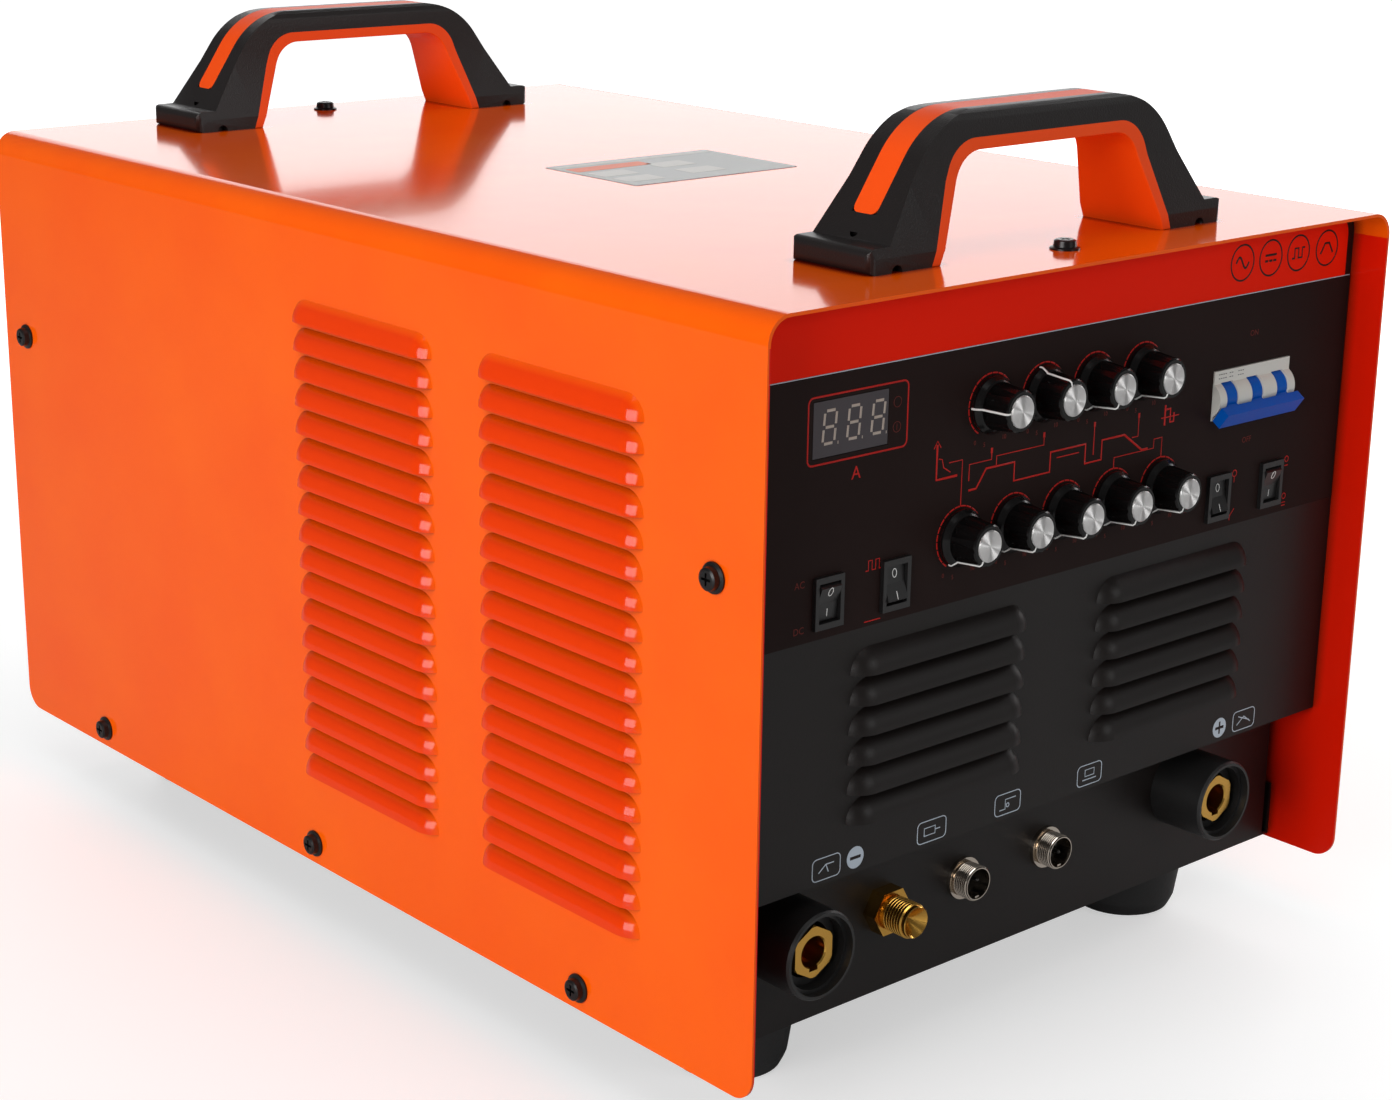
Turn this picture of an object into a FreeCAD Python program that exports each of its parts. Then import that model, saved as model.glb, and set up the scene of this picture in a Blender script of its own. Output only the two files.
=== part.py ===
import FreeCAD, Part
import math
import os

import Sketcher
from FreeCAD import Rotation, Vector

# TIG welding machine: folded cover on a base pan, with front and rear panels, two carrying
# handles, controls, output fittings and the power section inside.
# Frame: +Z up, -Y is the front, +X is the right seen from the front. The origin is on the
# floor, under the middle of the cover. Millimetres.

doc = FreeCAD.newDocument("tig_welding_machine")
sheet = doc.addObject("Spreadsheet::Sheet", "Sizes")


class Size:
    """A length with its number and the spreadsheet expression that drives it."""

    def __init__(self, value, text):
        self.value = float(value)
        self.text = text

    def __add__(self, other):
        other = as_size(other)
        return Size(self.value + other.value, f"({self.text} + {other.text})")

    def __sub__(self, other):
        other = as_size(other)
        return Size(self.value - other.value, f"({self.text} - {other.text})")

    def __mul__(self, other):
        other = as_size(other)
        return Size(self.value * other.value, f"({self.text} * {other.text})")

    def __truediv__(self, other):
        other = as_size(other)
        return Size(self.value / other.value, f"({self.text} / {other.text})")

    def __neg__(self):
        return as_size(0) - self

    def __radd__(self, other):
        return as_size(other) + self

    def __rsub__(self, other):
        return as_size(other) - self

    def __rmul__(self, other):
        return as_size(other) * self


def as_size(number):
    if isinstance(number, Size):
        return number
    return Size(number, f"{float(number):.6f}")


class Sizes:
    """The driving dimensions, one spreadsheet row each."""


s = Sizes()
DRIVING = {
    # cover and base
    "cover_width": 380, "cover_depth": 590, "cover_height": 314, "sheet_wall": 1.4,
    "bend_radius": 11, "corner_radius": 11, "skirt_drop": 2, "fit_gap": 0.3,
    "strip_height": 71, "pan_flange": 26, "pan_bend": 5, "pan_rear_lip": 12, "strip_return": 14,
    # panels
    "face_recess": 17.4, "strip_recess": 37.7, "rear_recess": 30, "panel_flange": 18,
    "overlay_wall": 0.4, "header_height": 29, "overlay_height": 105,
    # cover louvres
    "louvre_pitch": 12.65, "louvre_height": 10, "louvre_proud": 5, "side_lip": 105,
    "side_first_lip": 52, "side_front_column": 120.5, "side_rear_column": 258.5,
    "side_low_margin": 36,
    # front louvres
    "front_lip": 102.5, "front_louvre_height": 10.5, "front_louvre_proud": 6,
    "front_first_lip": 155, "front_column": 74, "front_low_margin": 20,
    # screws
    "screw_shank": 2.4, "screw_clearance": 0.3, "screw_flange": 6.3, "screw_head": 4.6,
    "screw_head_height": 3.6, "screw_flange_height": 1.2, "screw_length": 10,
    "side_screw_drop": 104, "side_screw_front": 27, "side_screw_rear": 22,
    "low_screw_rise": 10, "low_screw_front": 108, "low_screw_rear": 85, "top_screw_front": 27,
    "top_screw_rear": 20, "tapped_gap": 0.1, "m6_hole": 3.3, "m6_shank": 2.9, "m6_head": 5,
    "m6_head_height": 5.5, "m6_length": 14, "cross_arm": 2.6, "cross_slot": 1.1, "cross_depth": 2,
    # feet
    "foot_height": 33, "foot_top": 29, "foot_bottom": 24.5, "foot_edge": 60, "foot_inset": 80,
    "foot_round": 4, "foot_well": 9, "foot_well_depth": 22, "foot_bore": 3.2,
    # handles
    "handle_rear_inset": 42, "handle_length": 216, "handle_rise": 58.6, "handle_depth": 45,
    "handle_bar_depth": 31,
    "handle_bar": 10.8, "handle_inset": 54, "shoe_height": 10.4, "shoe_ledge": 11.5,
    "handle_inner": 147, "handle_outer_top": 127, "handle_inner_top": 112,
    "handle_outer_round": 39, "handle_inner_round": 17, "grip_wall": 5, "strip_width": 13.5,
    "strip_wall": 1.2, "strip_rise": 20, "handle_screw_pitch": 186, "toe_round": 3.5,
    # knobs
    "knob_pitch": 31.4, "knob_upper_first": -50.8, "knob_upper_drop": 56,
    "knob_lower_first": -66.2, "knob_lower_drop": 108.7, "knob_skirt": 12, "knob_body": 9.5,
    "knob_top": 8.8, "knob_height": 16.7, "knob_lift": 0.6, "cap_radius": 6.6, "cap_wall": 1,
    "flute_radius": 2.6, "flute_set_out": 1.6, "shaft_radius": 3, "running_gap": 0.05,
    "bushing_wall": 0.45, "bushing_gap": 0.1, "nut_radius": 5.4, "nut_height": 2,
    "pot_radius": 8.5, "pot_depth": 9,
    # display
    "window_width": 40, "window_height": 22, "window_middle": -129.5, "window_drop": 52,
    "window_wall": 1.2,
    # rockers
    "bezel_width": 15.3, "bezel_height": 21.2, "bezel_proud": 2, "rocker_drop": 121,
    "rocker_slot_width": 11.4, "rocker_slot_height": 16.2, "rocker_gap": 0.4,
    "polarity_middle": -139.8, "pulse_middle": -103, "process_middle": 100.6,
    "trigger_middle": 138.4, "switch_width": 13.2, "switch_height": 19,
    "rocker_pivot": 1.5, "rocker_tilt": 12, "switch_depth": 16, "rocker_pin": 1,
    # breaker
    "breaker_middle": 119.3, "breaker_drop": 76, "pole_pitch": 17.8, "pole_slot": 8.2,
    "nose_above": 13, "nose_below": 9, "nose_proud": 0.5, "cheek_radius": 8.5,
    "toggle_radius": 7.9, "toggle_set_back": 4, "bar_inner": 9.2, "bar_outer": 14,
    "bar_height": 8, "toggle_tilt": 35, "breaker_height": 66, "breaker_depth": 45,
    # output sockets
    "socket_left": -143.8, "socket_right": 113.4, "socket_rise": 44.6, "socket_radius": 19,
    "socket_proud": 28, "contact_set_back": 5, "contact_bore": 6.5, "contact_flats": 20.4,
    "bore_depth": 30, "socket_rim": 2, "socket_barrel": 14, "socket_tail": 18, "key_width": 4.6,
    "key_depth": 12, "panel_hole_gap": 0.3,
    # gas outlet and control sockets
    "gas_middle": -82.2, "control_rise": 38.5, "gas_thread": 7.8, "gas_flats": 19,
    "gas_hex": 7, "gas_proud": 20.6, "gas_bore": 1.6, "gas_barrel": 6, "gas_tail": 20, "torch_middle": -32.9,
    "pedal_middle": 20.6, "control_thread": 7.95, "control_flange": 9.55,
    "control_flange_wall": 2, "control_proud": 10, "control_bore": 6.9, "control_barrel": 7.4,
    "core_tail": 16, "contact_ring": 3, "contact_radius": 0.9,
    # rear panel and fan
    "fan_size": 150, "fan_depth": 50, "fan_rise": 84, "fan_opening": 70, "rotor_radius": 68,
    "hub_radius": 26, "rotor_depth": 32, "rotor_tip_gap": 1.5, "fan_screw_inset": 9,
    "fan_screw_hole": 2.3, "fan_shaft": 3, "blade_chord": 30, "blade_wall": 2.2, "guard_wire": 1.25,
    "gland_middle": 130,
    "gland_rise": 60, "gland_thread": 12, "cable_bore": 7, "inlet_middle": 130, "inlet_rise": 110,
    "inlet_thread": 7, "hose_bore": 2.5, "earth_rise": 40, "earth_thread": 3.9,
    # inside
    "deck_rise": 175, "deck_flange": 14, "deck_side_gap": 14, "board_wall": 1.6, "board_lift": 8,
    "fin_pitch": 10, "fin_wall": 3, "fin_height": 52, "sink_base": 10, "power_board_rise": 60,
    "core_height": 90, "core_length": 100, "core_leg": 16, "choke_middle": 34, "choke_tube": 18,
    "coil_radius": 30, "coil_height": 60,
}
for row, (alias, number) in enumerate(DRIVING.items(), start=1):
    sheet.set(f"A{row}", alias)
    sheet.set(f"B{row}", str(number))
    sheet.setAlias(f"B{row}", alias)
    setattr(s, alias, Size(number, f"Sizes.{alias}"))
doc.recompute()

# Planes that every section shares.
half_width = s.cover_width / 2
front_edge = -s.cover_depth / 2
rear_edge = s.cover_depth / 2
pan_under = s.foot_height
pan_top = pan_under + s.sheet_wall
cover_bottom = pan_under - s.skirt_drop
cover_top = cover_bottom + s.cover_height
under_cover = cover_top - s.sheet_wall
inner_half = half_width - s.sheet_wall - s.fit_gap
face_y = front_edge + s.face_recess
panel_front = face_y + s.overlay_wall
panel_back = panel_front + s.sheet_wall
strip_y = front_edge + s.strip_recess
strip_top = pan_under + s.strip_height
rear_y = rear_edge - s.rear_recess
deck_z = pan_under + s.deck_rise
bushing_radius = s.shaft_radius + s.running_gap + s.bushing_wall

pieces = []


def bind(obj, prop, size):
    obj.setExpression(prop, as_size(size).text)


def put_at(obj, x=0, y=0, z=0, rotation=None):
    if rotation is not None:
        obj.Placement = FreeCAD.Placement(Vector(0, 0, 0), rotation)
    for axis, size in zip("xyz", (x, y, z)):
        bind(obj, f"Placement.Base.{axis}", size)


def keep(label, obj):
    """Make an object a sub-part: its label names its file."""
    obj.Label = label
    pieces.append(obj)
    return obj


# ---- Part primitives and booleans ----

AXIS_TURN = {
    "x": Rotation(Vector(0, 1, 0), 90),
    "y": Rotation(Vector(1, 0, 0), -90),
    "z": Rotation(),
    "front": Rotation(Vector(1, 0, 0), 90),
}


def block(x, y, z):
    """A box between pairs of limits."""
    box = doc.addObject("Part::Box", "block")
    for prop, (low, high) in zip(("Length", "Width", "Height"), (x, y, z)):
        bind(box, prop, as_size(high) - low)
    put_at(box, x[0], y[0], z[0])
    return box


def rod(start, radius, length, axis="z"):
    """A cylinder that starts at a point and runs along an axis."""
    cylinder = doc.addObject("Part::Cylinder", "rod")
    bind(cylinder, "Radius", radius)
    bind(cylinder, "Height", length)
    put_at(cylinder, *start, rotation=AXIS_TURN[axis])
    return cylinder


def fuse(*shapes):
    if len(shapes) == 1:
        return shapes[0]
    union = doc.addObject("Part::MultiFuse", "fusion")
    union.Shapes = list(shapes)
    return union


def cut(base, *tools):
    result = doc.addObject("Part::Cut", "cut")
    result.Base = base
    result.Tool = fuse(*tools)
    return result


def common(base, tool):
    result = doc.addObject("Part::Common", "common")
    result.Base = base
    result.Tool = tool
    return result


def group(*shapes):
    """Separate solids that share one node."""
    bundle = doc.addObject("Part::Compound", "group")
    bundle.Links = list(shapes)
    return bundle


def ready_made(name, shape):
    feature = doc.addObject("Part::Feature", name)
    feature.Shape = shape
    return feature


# ---- Part Design bodies ----

def new_body(name):
    return doc.addObject("PartDesign::Body", name)


def origin_plane(body, role):
    return next(item for item in body.Origin.OriginFeatures if item.Role == role)


def sketch_on(body, role, lift=0):
    sketch = body.newObject("Sketcher::SketchObject", "sketch")
    sketch.AttachmentSupport = [(origin_plane(body, role), "")]
    sketch.MapMode = "FlatFace"
    bind(sketch, "AttachmentOffset.Base.z", lift)
    return sketch


def drive(sketch, kind, *where, size):
    size = as_size(size)
    index = sketch.addConstraint(Sketcher.Constraint(kind, *where, size.value))
    sketch.setExpression(f"Constraints[{index}]", size.text)


def outline(sketch, points):
    """A closed polygon whose every corner is driven by the spreadsheet."""
    points = [(as_size(u), as_size(v)) for u, v in points]
    count = len(points)
    first = sketch.GeometryCount
    for (u, v), (next_u, next_v) in zip(points, points[1:] + points[:1]):
        line = Part.LineSegment(Vector(u.value, v.value, 0), Vector(next_u.value, next_v.value, 0))
        sketch.addGeometry(line, False)
    for index in range(count):
        following = first + (index + 1) % count
        sketch.addConstraint(Sketcher.Constraint("Coincident", first + index, 2, following, 1))
    for index, (u, v) in enumerate(points):
        drive(sketch, "DistanceX", -1, 1, first + index, 1, size=u)
        drive(sketch, "DistanceY", -1, 1, first + index, 1, size=v)


def rectangle(sketch, low_u, high_u, low_v, high_v):
    outline(sketch, [(low_u, low_v), (high_u, low_v), (high_u, high_v), (low_u, high_v)])


def circle(sketch, u, v, radius):
    u, v, radius = as_size(u), as_size(v), as_size(radius)
    ring = Part.Circle(Vector(u.value, v.value, 0), Vector(0, 0, 1), radius.value)
    index = sketch.addGeometry(ring, False)
    drive(sketch, "DistanceX", -1, 1, index, 3, size=u)
    drive(sketch, "DistanceY", -1, 1, index, 3, size=v)
    drive(sketch, "Radius", index, size=radius)


def pad(body, sketch, length, both_sides=False, backwards=False):
    feature = body.newObject("PartDesign::Pad", "pad")
    feature.Profile = sketch
    bind(feature, "Length", length)
    feature.Midplane = both_sides
    feature.Reversed = backwards
    return feature


def pocket(body, sketch, length, both_sides=False, backwards=False):
    feature = body.newObject("PartDesign::Pocket", "pocket")
    feature.Profile = sketch
    bind(feature, "Length", length)
    feature.Midplane = both_sides
    feature.Reversed = backwards
    return feature


def revolve(body, sketch, groove=False):
    kind = "PartDesign::Groove" if groove else "PartDesign::Revolution"
    feature = body.newObject(kind, "turning")
    feature.Profile = sketch
    feature.ReferenceAxis = (sketch, ["V_Axis"])
    feature.Angle = 360
    return feature


def turned(name, profile):
    """A body turned about its own Z from (radius, height) points."""
    body = new_body(name)
    sketch = sketch_on(body, "XZ_Plane")
    outline(sketch, profile)
    revolve(body, sketch)
    return body


def hexagon(across_flats, corner_up=False):
    """Corner points of a hexagon about the origin."""
    corner = as_size(across_flats) / math.sqrt(3)
    start = 90 if corner_up else 0
    turns = [math.radians(start + 60 * step) for step in range(6)]
    return [(corner * math.cos(turn), corner * math.sin(turn)) for turn in turns]


def sheet_panel(name, x, z, y_front, wall, openings=(), holes=()):
    """A flat upright plate with rectangular openings and round holes."""
    body = new_body(name)
    plate = sketch_on(body, "XZ_Plane", -as_size(y_front))
    rectangle(plate, x[0], x[1], z[0], z[1])
    for low_x, high_x, low_z, high_z in openings:
        rectangle(plate, low_x, high_x, low_z, high_z)
    for middle_x, middle_z, radius in holes:
        circle(plate, middle_x, middle_z, radius)
    pad(body, plate, wall, backwards=True)
    return body


# ---- Pressed louvres ----

def louvre(lip, height, proud, wall):
    """Hood and opening of one pressed louvre: the lip runs along X at Z = 0, the sheet's outer
    face is Y = 0 and the hood stands out towards -Y. The ends are quarter domes."""
    radius = (height ** 2 + proud ** 2) / (2 * proud)
    straight = lip - 2 * height
    axis_y = radius - proud

    def capsule(size):
        tube = Part.makeCylinder(size, straight, Vector(-straight / 2, axis_y, 0), Vector(1, 0, 0))
        ends = [Part.makeSphere(size, Vector(side * straight / 2, axis_y, 0)) for side in (-1, 1)]
        return tube.multiFuse(ends).removeSplitter()

    outer = capsule(radius)
    inner = capsule(radius - wall)
    keep_box = Part.makeBox(2 * lip, proud + 1 + wall, 2 * radius, Vector(-lip, -proud - 1, 0))
    hood = outer.cut(inner).common(keep_box)
    opening = inner.common(keep_box)
    return hood, opening


def louvre_bank(hood, opening, places):
    """Copies of one louvre at placements, as one compound of hoods and one of openings."""
    hoods = []
    openings = []
    for place in places:
        for source, copies in ((hood, hoods), (opening, openings)):
            copy = source.copy()
            copy.Placement = place
            copies.append(copy)
    return Part.makeCompound(hoods), Part.makeCompound(openings)


# ---- Cover: one folded sheet, top and both sides, with pressed louvres ----

side_rows = int((s.cover_height.value - s.side_first_lip.value - s.side_low_margin.value)
                / s.louvre_pitch.value) + 1
side_columns = [front_edge.value + s.side_front_column.value, front_edge.value + s.side_rear_column.value]
side_screw_z = cover_top - s.side_screw_drop
low_screw_z = cover_bottom + s.low_screw_rise
side_screw_spots = [
    (front_edge + s.side_screw_front, side_screw_z),
    (rear_edge - s.side_screw_rear, side_screw_z),
    (front_edge + s.low_screw_front, low_screw_z),
    ((s.low_screw_front - s.low_screw_rear) / 2, low_screw_z),
    (rear_edge - s.low_screw_rear, low_screw_z),
]
top_screw_spots = [front_edge + s.top_screw_front, rear_edge - s.top_screw_rear]
handle_middles = {"front": front_edge + s.handle_inset, "rear": rear_edge - s.handle_rear_inset}
handle_screw_spots = [
    (side * s.handle_screw_pitch / 2, middle) for middle in handle_middles.values() for side in (-1, 1)
]


def edges_along(body, axis, length, test):
    """Names of the straight edges along an axis whose middle passes a test."""
    doc.recompute()
    names = []
    for index, edge in enumerate(body.Shape.Edges, start=1):
        if edge.Curve.TypeId != "Part::GeomLine" or abs(edge.Length - length) > 0.01:
            continue
        if abs(abs(edge.Curve.Direction.dot(axis)) - 1) < 1e-6 and test(edge.CenterOfMass):
            names.append(f"Edge{index}")
    return names


def round_edges(body, names, radius):
    feature = body.newObject("PartDesign::Fillet", "rounding")
    feature.Base = (body.Tip if body.Tip != feature else feature.BaseFeature, names)
    bind(feature, "Radius", radius)
    return feature


def make_cover():
    body = new_body("cover_sheet")
    profile = sketch_on(body, "XZ_Plane")
    inner = half_width - s.sheet_wall
    outline(profile, [
        (-half_width, cover_bottom), (-half_width, cover_top), (half_width, cover_top),
        (half_width, cover_bottom), (inner, cover_bottom), (inner, under_cover),
        (-inner, under_cover), (-inner, cover_bottom),
    ])
    pad(body, profile, s.cover_depth, both_sides=True)
    depth = s.cover_depth.value
    bends = edges_along(body, Vector(0, 1, 0), depth,
                        lambda spot: abs(spot.x) > half_width.value - 0.1 and spot.z > cover_top.value - 0.1)
    round_edges(body, bends, s.bend_radius)
    inner_bends = edges_along(body, Vector(0, 1, 0), depth,
                              lambda spot: abs(spot.x) < half_width.value - 0.1
                              and abs(spot.z - under_cover.value) < 0.1)
    round_edges(body, inner_bends, s.bend_radius - s.sheet_wall)
    corners = edges_along(body, Vector(1, 0, 0), s.sheet_wall.value,
                          lambda spot: spot.z < cover_bottom.value + 0.1)
    round_edges(body, corners, s.corner_radius)
    side_holes = sketch_on(body, "YZ_Plane")
    for y, z in side_screw_spots:
        circle(side_holes, y, z, s.screw_shank + s.screw_clearance)
    pocket(body, side_holes, s.cover_width * 2, both_sides=True)
    top_holes = sketch_on(body, "XY_Plane", cover_top + s.sheet_wall / 2)
    for y in top_screw_spots:
        circle(top_holes, 0, y, s.screw_shank + s.screw_clearance)
    for x, y in handle_screw_spots:
        circle(top_holes, x, y, s.m6_hole)
    pocket(body, top_holes, 2 * s.sheet_wall)
    hood, opening = louvre(s.side_lip.value, s.louvre_height.value, s.louvre_proud.value,
                           s.sheet_wall.value)
    places = []
    for side in (-1, 1):
        turn = Rotation(Vector(0, 0, 1), 90 * side)
        for y in side_columns:
            for row_index in range(side_rows):
                z = cover_top.value - s.side_first_lip.value - row_index * s.louvre_pitch.value
                places.append(FreeCAD.Placement(Vector(side * half_width.value, y, z), turn))
    hoods, openings = louvre_bank(hood, opening, places)
    sides = cut(body, ready_made("cover_openings", openings))
    return keep("cover", fuse(sides, ready_made("cover_hoods", hoods)))


make_cover()


# ---- Base pan: floor, side flanges and the two low walls, one folded sheet ----

def make_base_pan():
    body = new_body("base_pan")
    section = sketch_on(body, "XZ_Plane")
    flange_top = pan_under + s.pan_flange
    outline(section, [
        (-inner_half, flange_top), (-inner_half, pan_under), (inner_half, pan_under),
        (inner_half, flange_top), (inner_half - s.sheet_wall, flange_top),
        (inner_half - s.sheet_wall, pan_top), (-inner_half + s.sheet_wall, pan_top),
        (-inner_half + s.sheet_wall, flange_top),
    ])
    floor_front = strip_y
    floor_length = rear_y - floor_front
    section_lift = -floor_front
    bind(section, "AttachmentOffset.Base.z", section_lift)
    pad(body, section, floor_length, backwards=True)
    strip = sketch_on(body, "XZ_Plane", section_lift)
    rectangle(strip, -inner_half + s.pan_bend, inner_half - s.pan_bend, pan_under, strip_top)
    holes = [(s.socket_left, s.socket_rise, s.socket_barrel),
             (s.socket_right, s.socket_rise, s.socket_barrel),
             (s.gas_middle, s.control_rise, s.gas_barrel), (s.torch_middle, s.control_rise, s.control_barrel),
             (s.pedal_middle, s.control_rise, s.control_barrel)]
    for x, rise, barrel in holes:
        circle(strip, x, pan_under + rise, barrel + s.panel_hole_gap)
    pad(body, strip, s.sheet_wall, backwards=True)
    rear_wall = sketch_on(body, "XZ_Plane", -rear_y)
    rectangle(rear_wall, -inner_half + s.pan_bend, inner_half - s.pan_bend, pan_under,
              pan_under + s.pan_rear_lip)
    pad(body, rear_wall, s.sheet_wall, backwards=True)
    for side in (-1, 1):
        strip_side = sketch_on(body, "XY_Plane", pan_under)
        edge = side * (inner_half - s.pan_bend)
        inside = side * (inner_half - s.pan_bend - s.sheet_wall)
        low, high = (edge, inside) if side < 0 else (inside, edge)
        rectangle(strip_side, low, high, strip_y, strip_y + s.strip_return)
        pad(body, strip_side, s.strip_height)
    low_holes = sketch_on(body, "YZ_Plane")
    for y, z in side_screw_spots[2:]:
        circle(low_holes, y, z, s.screw_shank + s.tapped_gap)
    pocket(body, low_holes, s.cover_width * 2, both_sides=True)
    feet = sketch_on(body, "XY_Plane", pan_top + s.sheet_wall / 2)
    for x, y in foot_spots:
        circle(feet, x, y, s.m6_hole)
    pocket(body, feet, 2 * s.sheet_wall)
    return keep("base_pan", body)


foot_spots = [(side * (half_width - s.foot_edge), end)
              for end in (front_edge + s.foot_inset, rear_edge - s.foot_inset) for side in (-1, 1)]
make_base_pan()


# ---- Front panel: upright plate with a shelf back to the strip, side returns and louvres ----

knob_spots = [(s.knob_upper_first + index * s.knob_pitch, cover_top - s.knob_upper_drop)
              for index in range(4)]
knob_spots += [(s.knob_lower_first + index * s.knob_pitch, cover_top - s.knob_lower_drop)
               for index in range(5)]
rocker_columns = {"polarity": s.polarity_middle, "pulse": s.pulse_middle,
                  "process": s.process_middle, "trigger_mode": s.trigger_middle}
rocker_z = cover_top - s.rocker_drop
breaker_z = cover_top - s.breaker_drop
breaker_half = 1.5 * s.pole_pitch
window_z = cover_top - s.window_drop


def panel_openings(gap):
    """Openings that the panel and its overlay share, each wider than its part by a gap."""
    openings = [
        (s.window_middle - s.window_width / 2 - gap, s.window_middle + s.window_width / 2 + gap,
         window_z - s.window_height / 2 - gap, window_z + s.window_height / 2 + gap),
        (s.breaker_middle - breaker_half - gap, s.breaker_middle + breaker_half + gap,
         breaker_z - s.nose_below - gap, breaker_z + s.nose_above + gap),
    ]
    reach, rise = s.switch_width / 2 + gap, s.switch_height / 2 + gap
    for x in rocker_columns.values():
        openings.append((x - reach, x + reach, rocker_z - rise, rocker_z + rise))
    return openings


def make_front_panel():
    knob_holes = [(x, z, bushing_radius + s.bushing_gap) for x, z in knob_spots]
    body = sheet_panel("front_plate", (-inner_half, inner_half),
                       (strip_top + s.fit_gap, under_cover - s.fit_gap), panel_front, s.sheet_wall, panel_openings(s.fit_gap), knob_holes)
    shelf = sketch_on(body, "XY_Plane", strip_top + s.fit_gap)
    rectangle(shelf, -inner_half, inner_half, panel_front, strip_y + s.sheet_wall)
    pad(body, shelf, s.sheet_wall)
    for side in (-1, 1):
        flange = sketch_on(body, "XY_Plane", strip_top + s.fit_gap)
        edge = side * inner_half
        inside = side * (inner_half - s.sheet_wall)
        low, high = (edge, inside) if side < 0 else (inside, edge)
        rectangle(flange, low, high, panel_front, panel_front + s.panel_flange)
        pad(body, flange, under_cover - s.bend_radius - strip_top)
    top = sketch_on(body, "XY_Plane", under_cover - s.fit_gap)
    top_half = half_width - s.bend_radius - 1
    rectangle(top, -top_half, top_half, panel_front, panel_front + s.panel_flange)
    pad(body, top, s.sheet_wall, backwards=True)
    corner_names = edges_along(body, Vector(0, 1, 0), s.sheet_wall.value,
                               lambda spot: spot.z > under_cover.value - 1
                               and abs(spot.x) > inner_half.value - 0.1)
    round_edges(body, corner_names, s.bend_radius - s.sheet_wall)
    holes = sketch_on(body, "YZ_Plane")
    circle(holes, front_edge + s.side_screw_front, side_screw_z, s.screw_shank + s.tapped_gap)
    pocket(body, holes, s.cover_width * 2, both_sides=True)
    top_hole = sketch_on(body, "XY_Plane", cover_top)
    circle(top_hole, 0, top_screw_spots[0], s.screw_shank + s.tapped_gap)
    pocket(body, top_hole, 4 * s.sheet_wall)
    rows = int((cover_top.value - s.front_first_lip.value - strip_top.value
                - s.front_low_margin.value) / s.louvre_pitch.value) + 1
    hood, opening = louvre(s.front_lip.value, s.front_louvre_height.value, s.front_louvre_proud.value,
                           s.sheet_wall.value)
    places = []
    for side in (-1, 1):
        for row_index in range(rows):
            z = cover_top.value - s.front_first_lip.value - row_index * s.louvre_pitch.value
            spot = Vector(side * s.front_column.value, panel_front.value, z)
            places.append(FreeCAD.Placement(spot, Rotation()))
    hoods, openings = louvre_bank(hood, opening, places)
    plate = cut(body, ready_made("front_openings", openings))
    return keep("front_panel", fuse(plate, ready_made("front_hoods", hoods)))


make_front_panel()


# ---- Printed films on the panel: header film and control film ----

def make_front_films():
    edge = inner_half - 0.8
    header_top = under_cover - 1
    header = sheet_panel("header_film", (-edge, edge - 4),
                         (cover_top - s.sheet_wall - s.header_height, header_top),
                         face_y, s.overlay_wall)
    header_corners = edges_along(header, Vector(0, 1, 0), s.overlay_wall.value,
                                 lambda spot: spot.z > header_top.value - 0.1)
    round_edges(header, header_corners, s.bend_radius - s.sheet_wall)
    control_top = cover_top - s.sheet_wall - s.header_height - 0.5
    control = sheet_panel("control_film", (-edge, edge), (control_top - s.overlay_height, control_top),
                          face_y, s.overlay_wall, panel_openings(s.fit_gap),
                          [(x, z, bushing_radius + s.bushing_gap) for x, z in knob_spots])
    return keep("front_films", group(header, control))


make_front_films()


# ---- Rear panel ----

fan_z = pan_under + s.fan_rise
gland_z = pan_under + s.gland_rise
inlet_z = pan_under + s.inlet_rise
earth_z = pan_under + s.earth_rise


def make_rear_panel():
    gap = s.panel_hole_gap
    holes = [(-s.gland_middle, gland_z, s.gland_thread + gap),
             (s.inlet_middle, inlet_z, s.inlet_thread + gap),
             (s.inlet_middle, earth_z, s.earth_thread + gap), (0, fan_z, s.fan_opening)]
    spread = s.fan_size / 2 - s.fan_screw_inset
    holes += [(x * spread, fan_z + z * spread, s.fan_screw_hole) for x in (-1, 1) for z in (-1, 1)]
    body = sheet_panel("rear_plate", (-inner_half, inner_half),
                       (pan_under + s.pan_rear_lip + s.fit_gap, under_cover - s.fit_gap), rear_y,
                       s.sheet_wall)
    bores = sketch_on(body, "XZ_Plane", -rear_y + 1)
    for x, z, radius in holes:
        circle(bores, x, z, radius)
    pocket(body, bores, 4 * s.sheet_wall)
    for side in (-1, 1):
        flange = sketch_on(body, "XY_Plane", pan_under + s.pan_flange + s.fit_gap)
        edge = side * inner_half
        inside = side * (inner_half - s.sheet_wall)
        low, high = (edge, inside) if side < 0 else (inside, edge)
        rectangle(flange, low, high, rear_y, rear_y + s.panel_flange)
        pad(body, flange, under_cover - s.bend_radius - pan_under - s.pan_flange)
    top = sketch_on(body, "XY_Plane", under_cover - s.fit_gap)
    top_half = half_width - s.bend_radius - 1
    rectangle(top, -top_half, top_half, rear_y, rear_y + s.panel_flange)
    pad(body, top, s.sheet_wall, backwards=True)
    corner_names = edges_along(body, Vector(0, 1, 0), s.sheet_wall.value,
                               lambda spot: spot.z > under_cover.value - 1
                               and abs(spot.x) > inner_half.value - 0.1)
    round_edges(body, corner_names, s.bend_radius - s.sheet_wall)
    side_holes = sketch_on(body, "YZ_Plane")
    circle(side_holes, rear_edge - s.side_screw_rear, side_screw_z, s.screw_shank + s.tapped_gap)
    pocket(body, side_holes, s.cover_width * 2, both_sides=True)
    top_hole = sketch_on(body, "XY_Plane", cover_top)
    circle(top_hole, 0, top_screw_spots[1], s.screw_shank + s.tapped_gap)
    pocket(body, top_hole, 4 * s.sheet_wall)
    return keep("rear_panel", body)


make_rear_panel()


# ---- Middle deck: shelf between the panels that carries the control electronics ----

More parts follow.
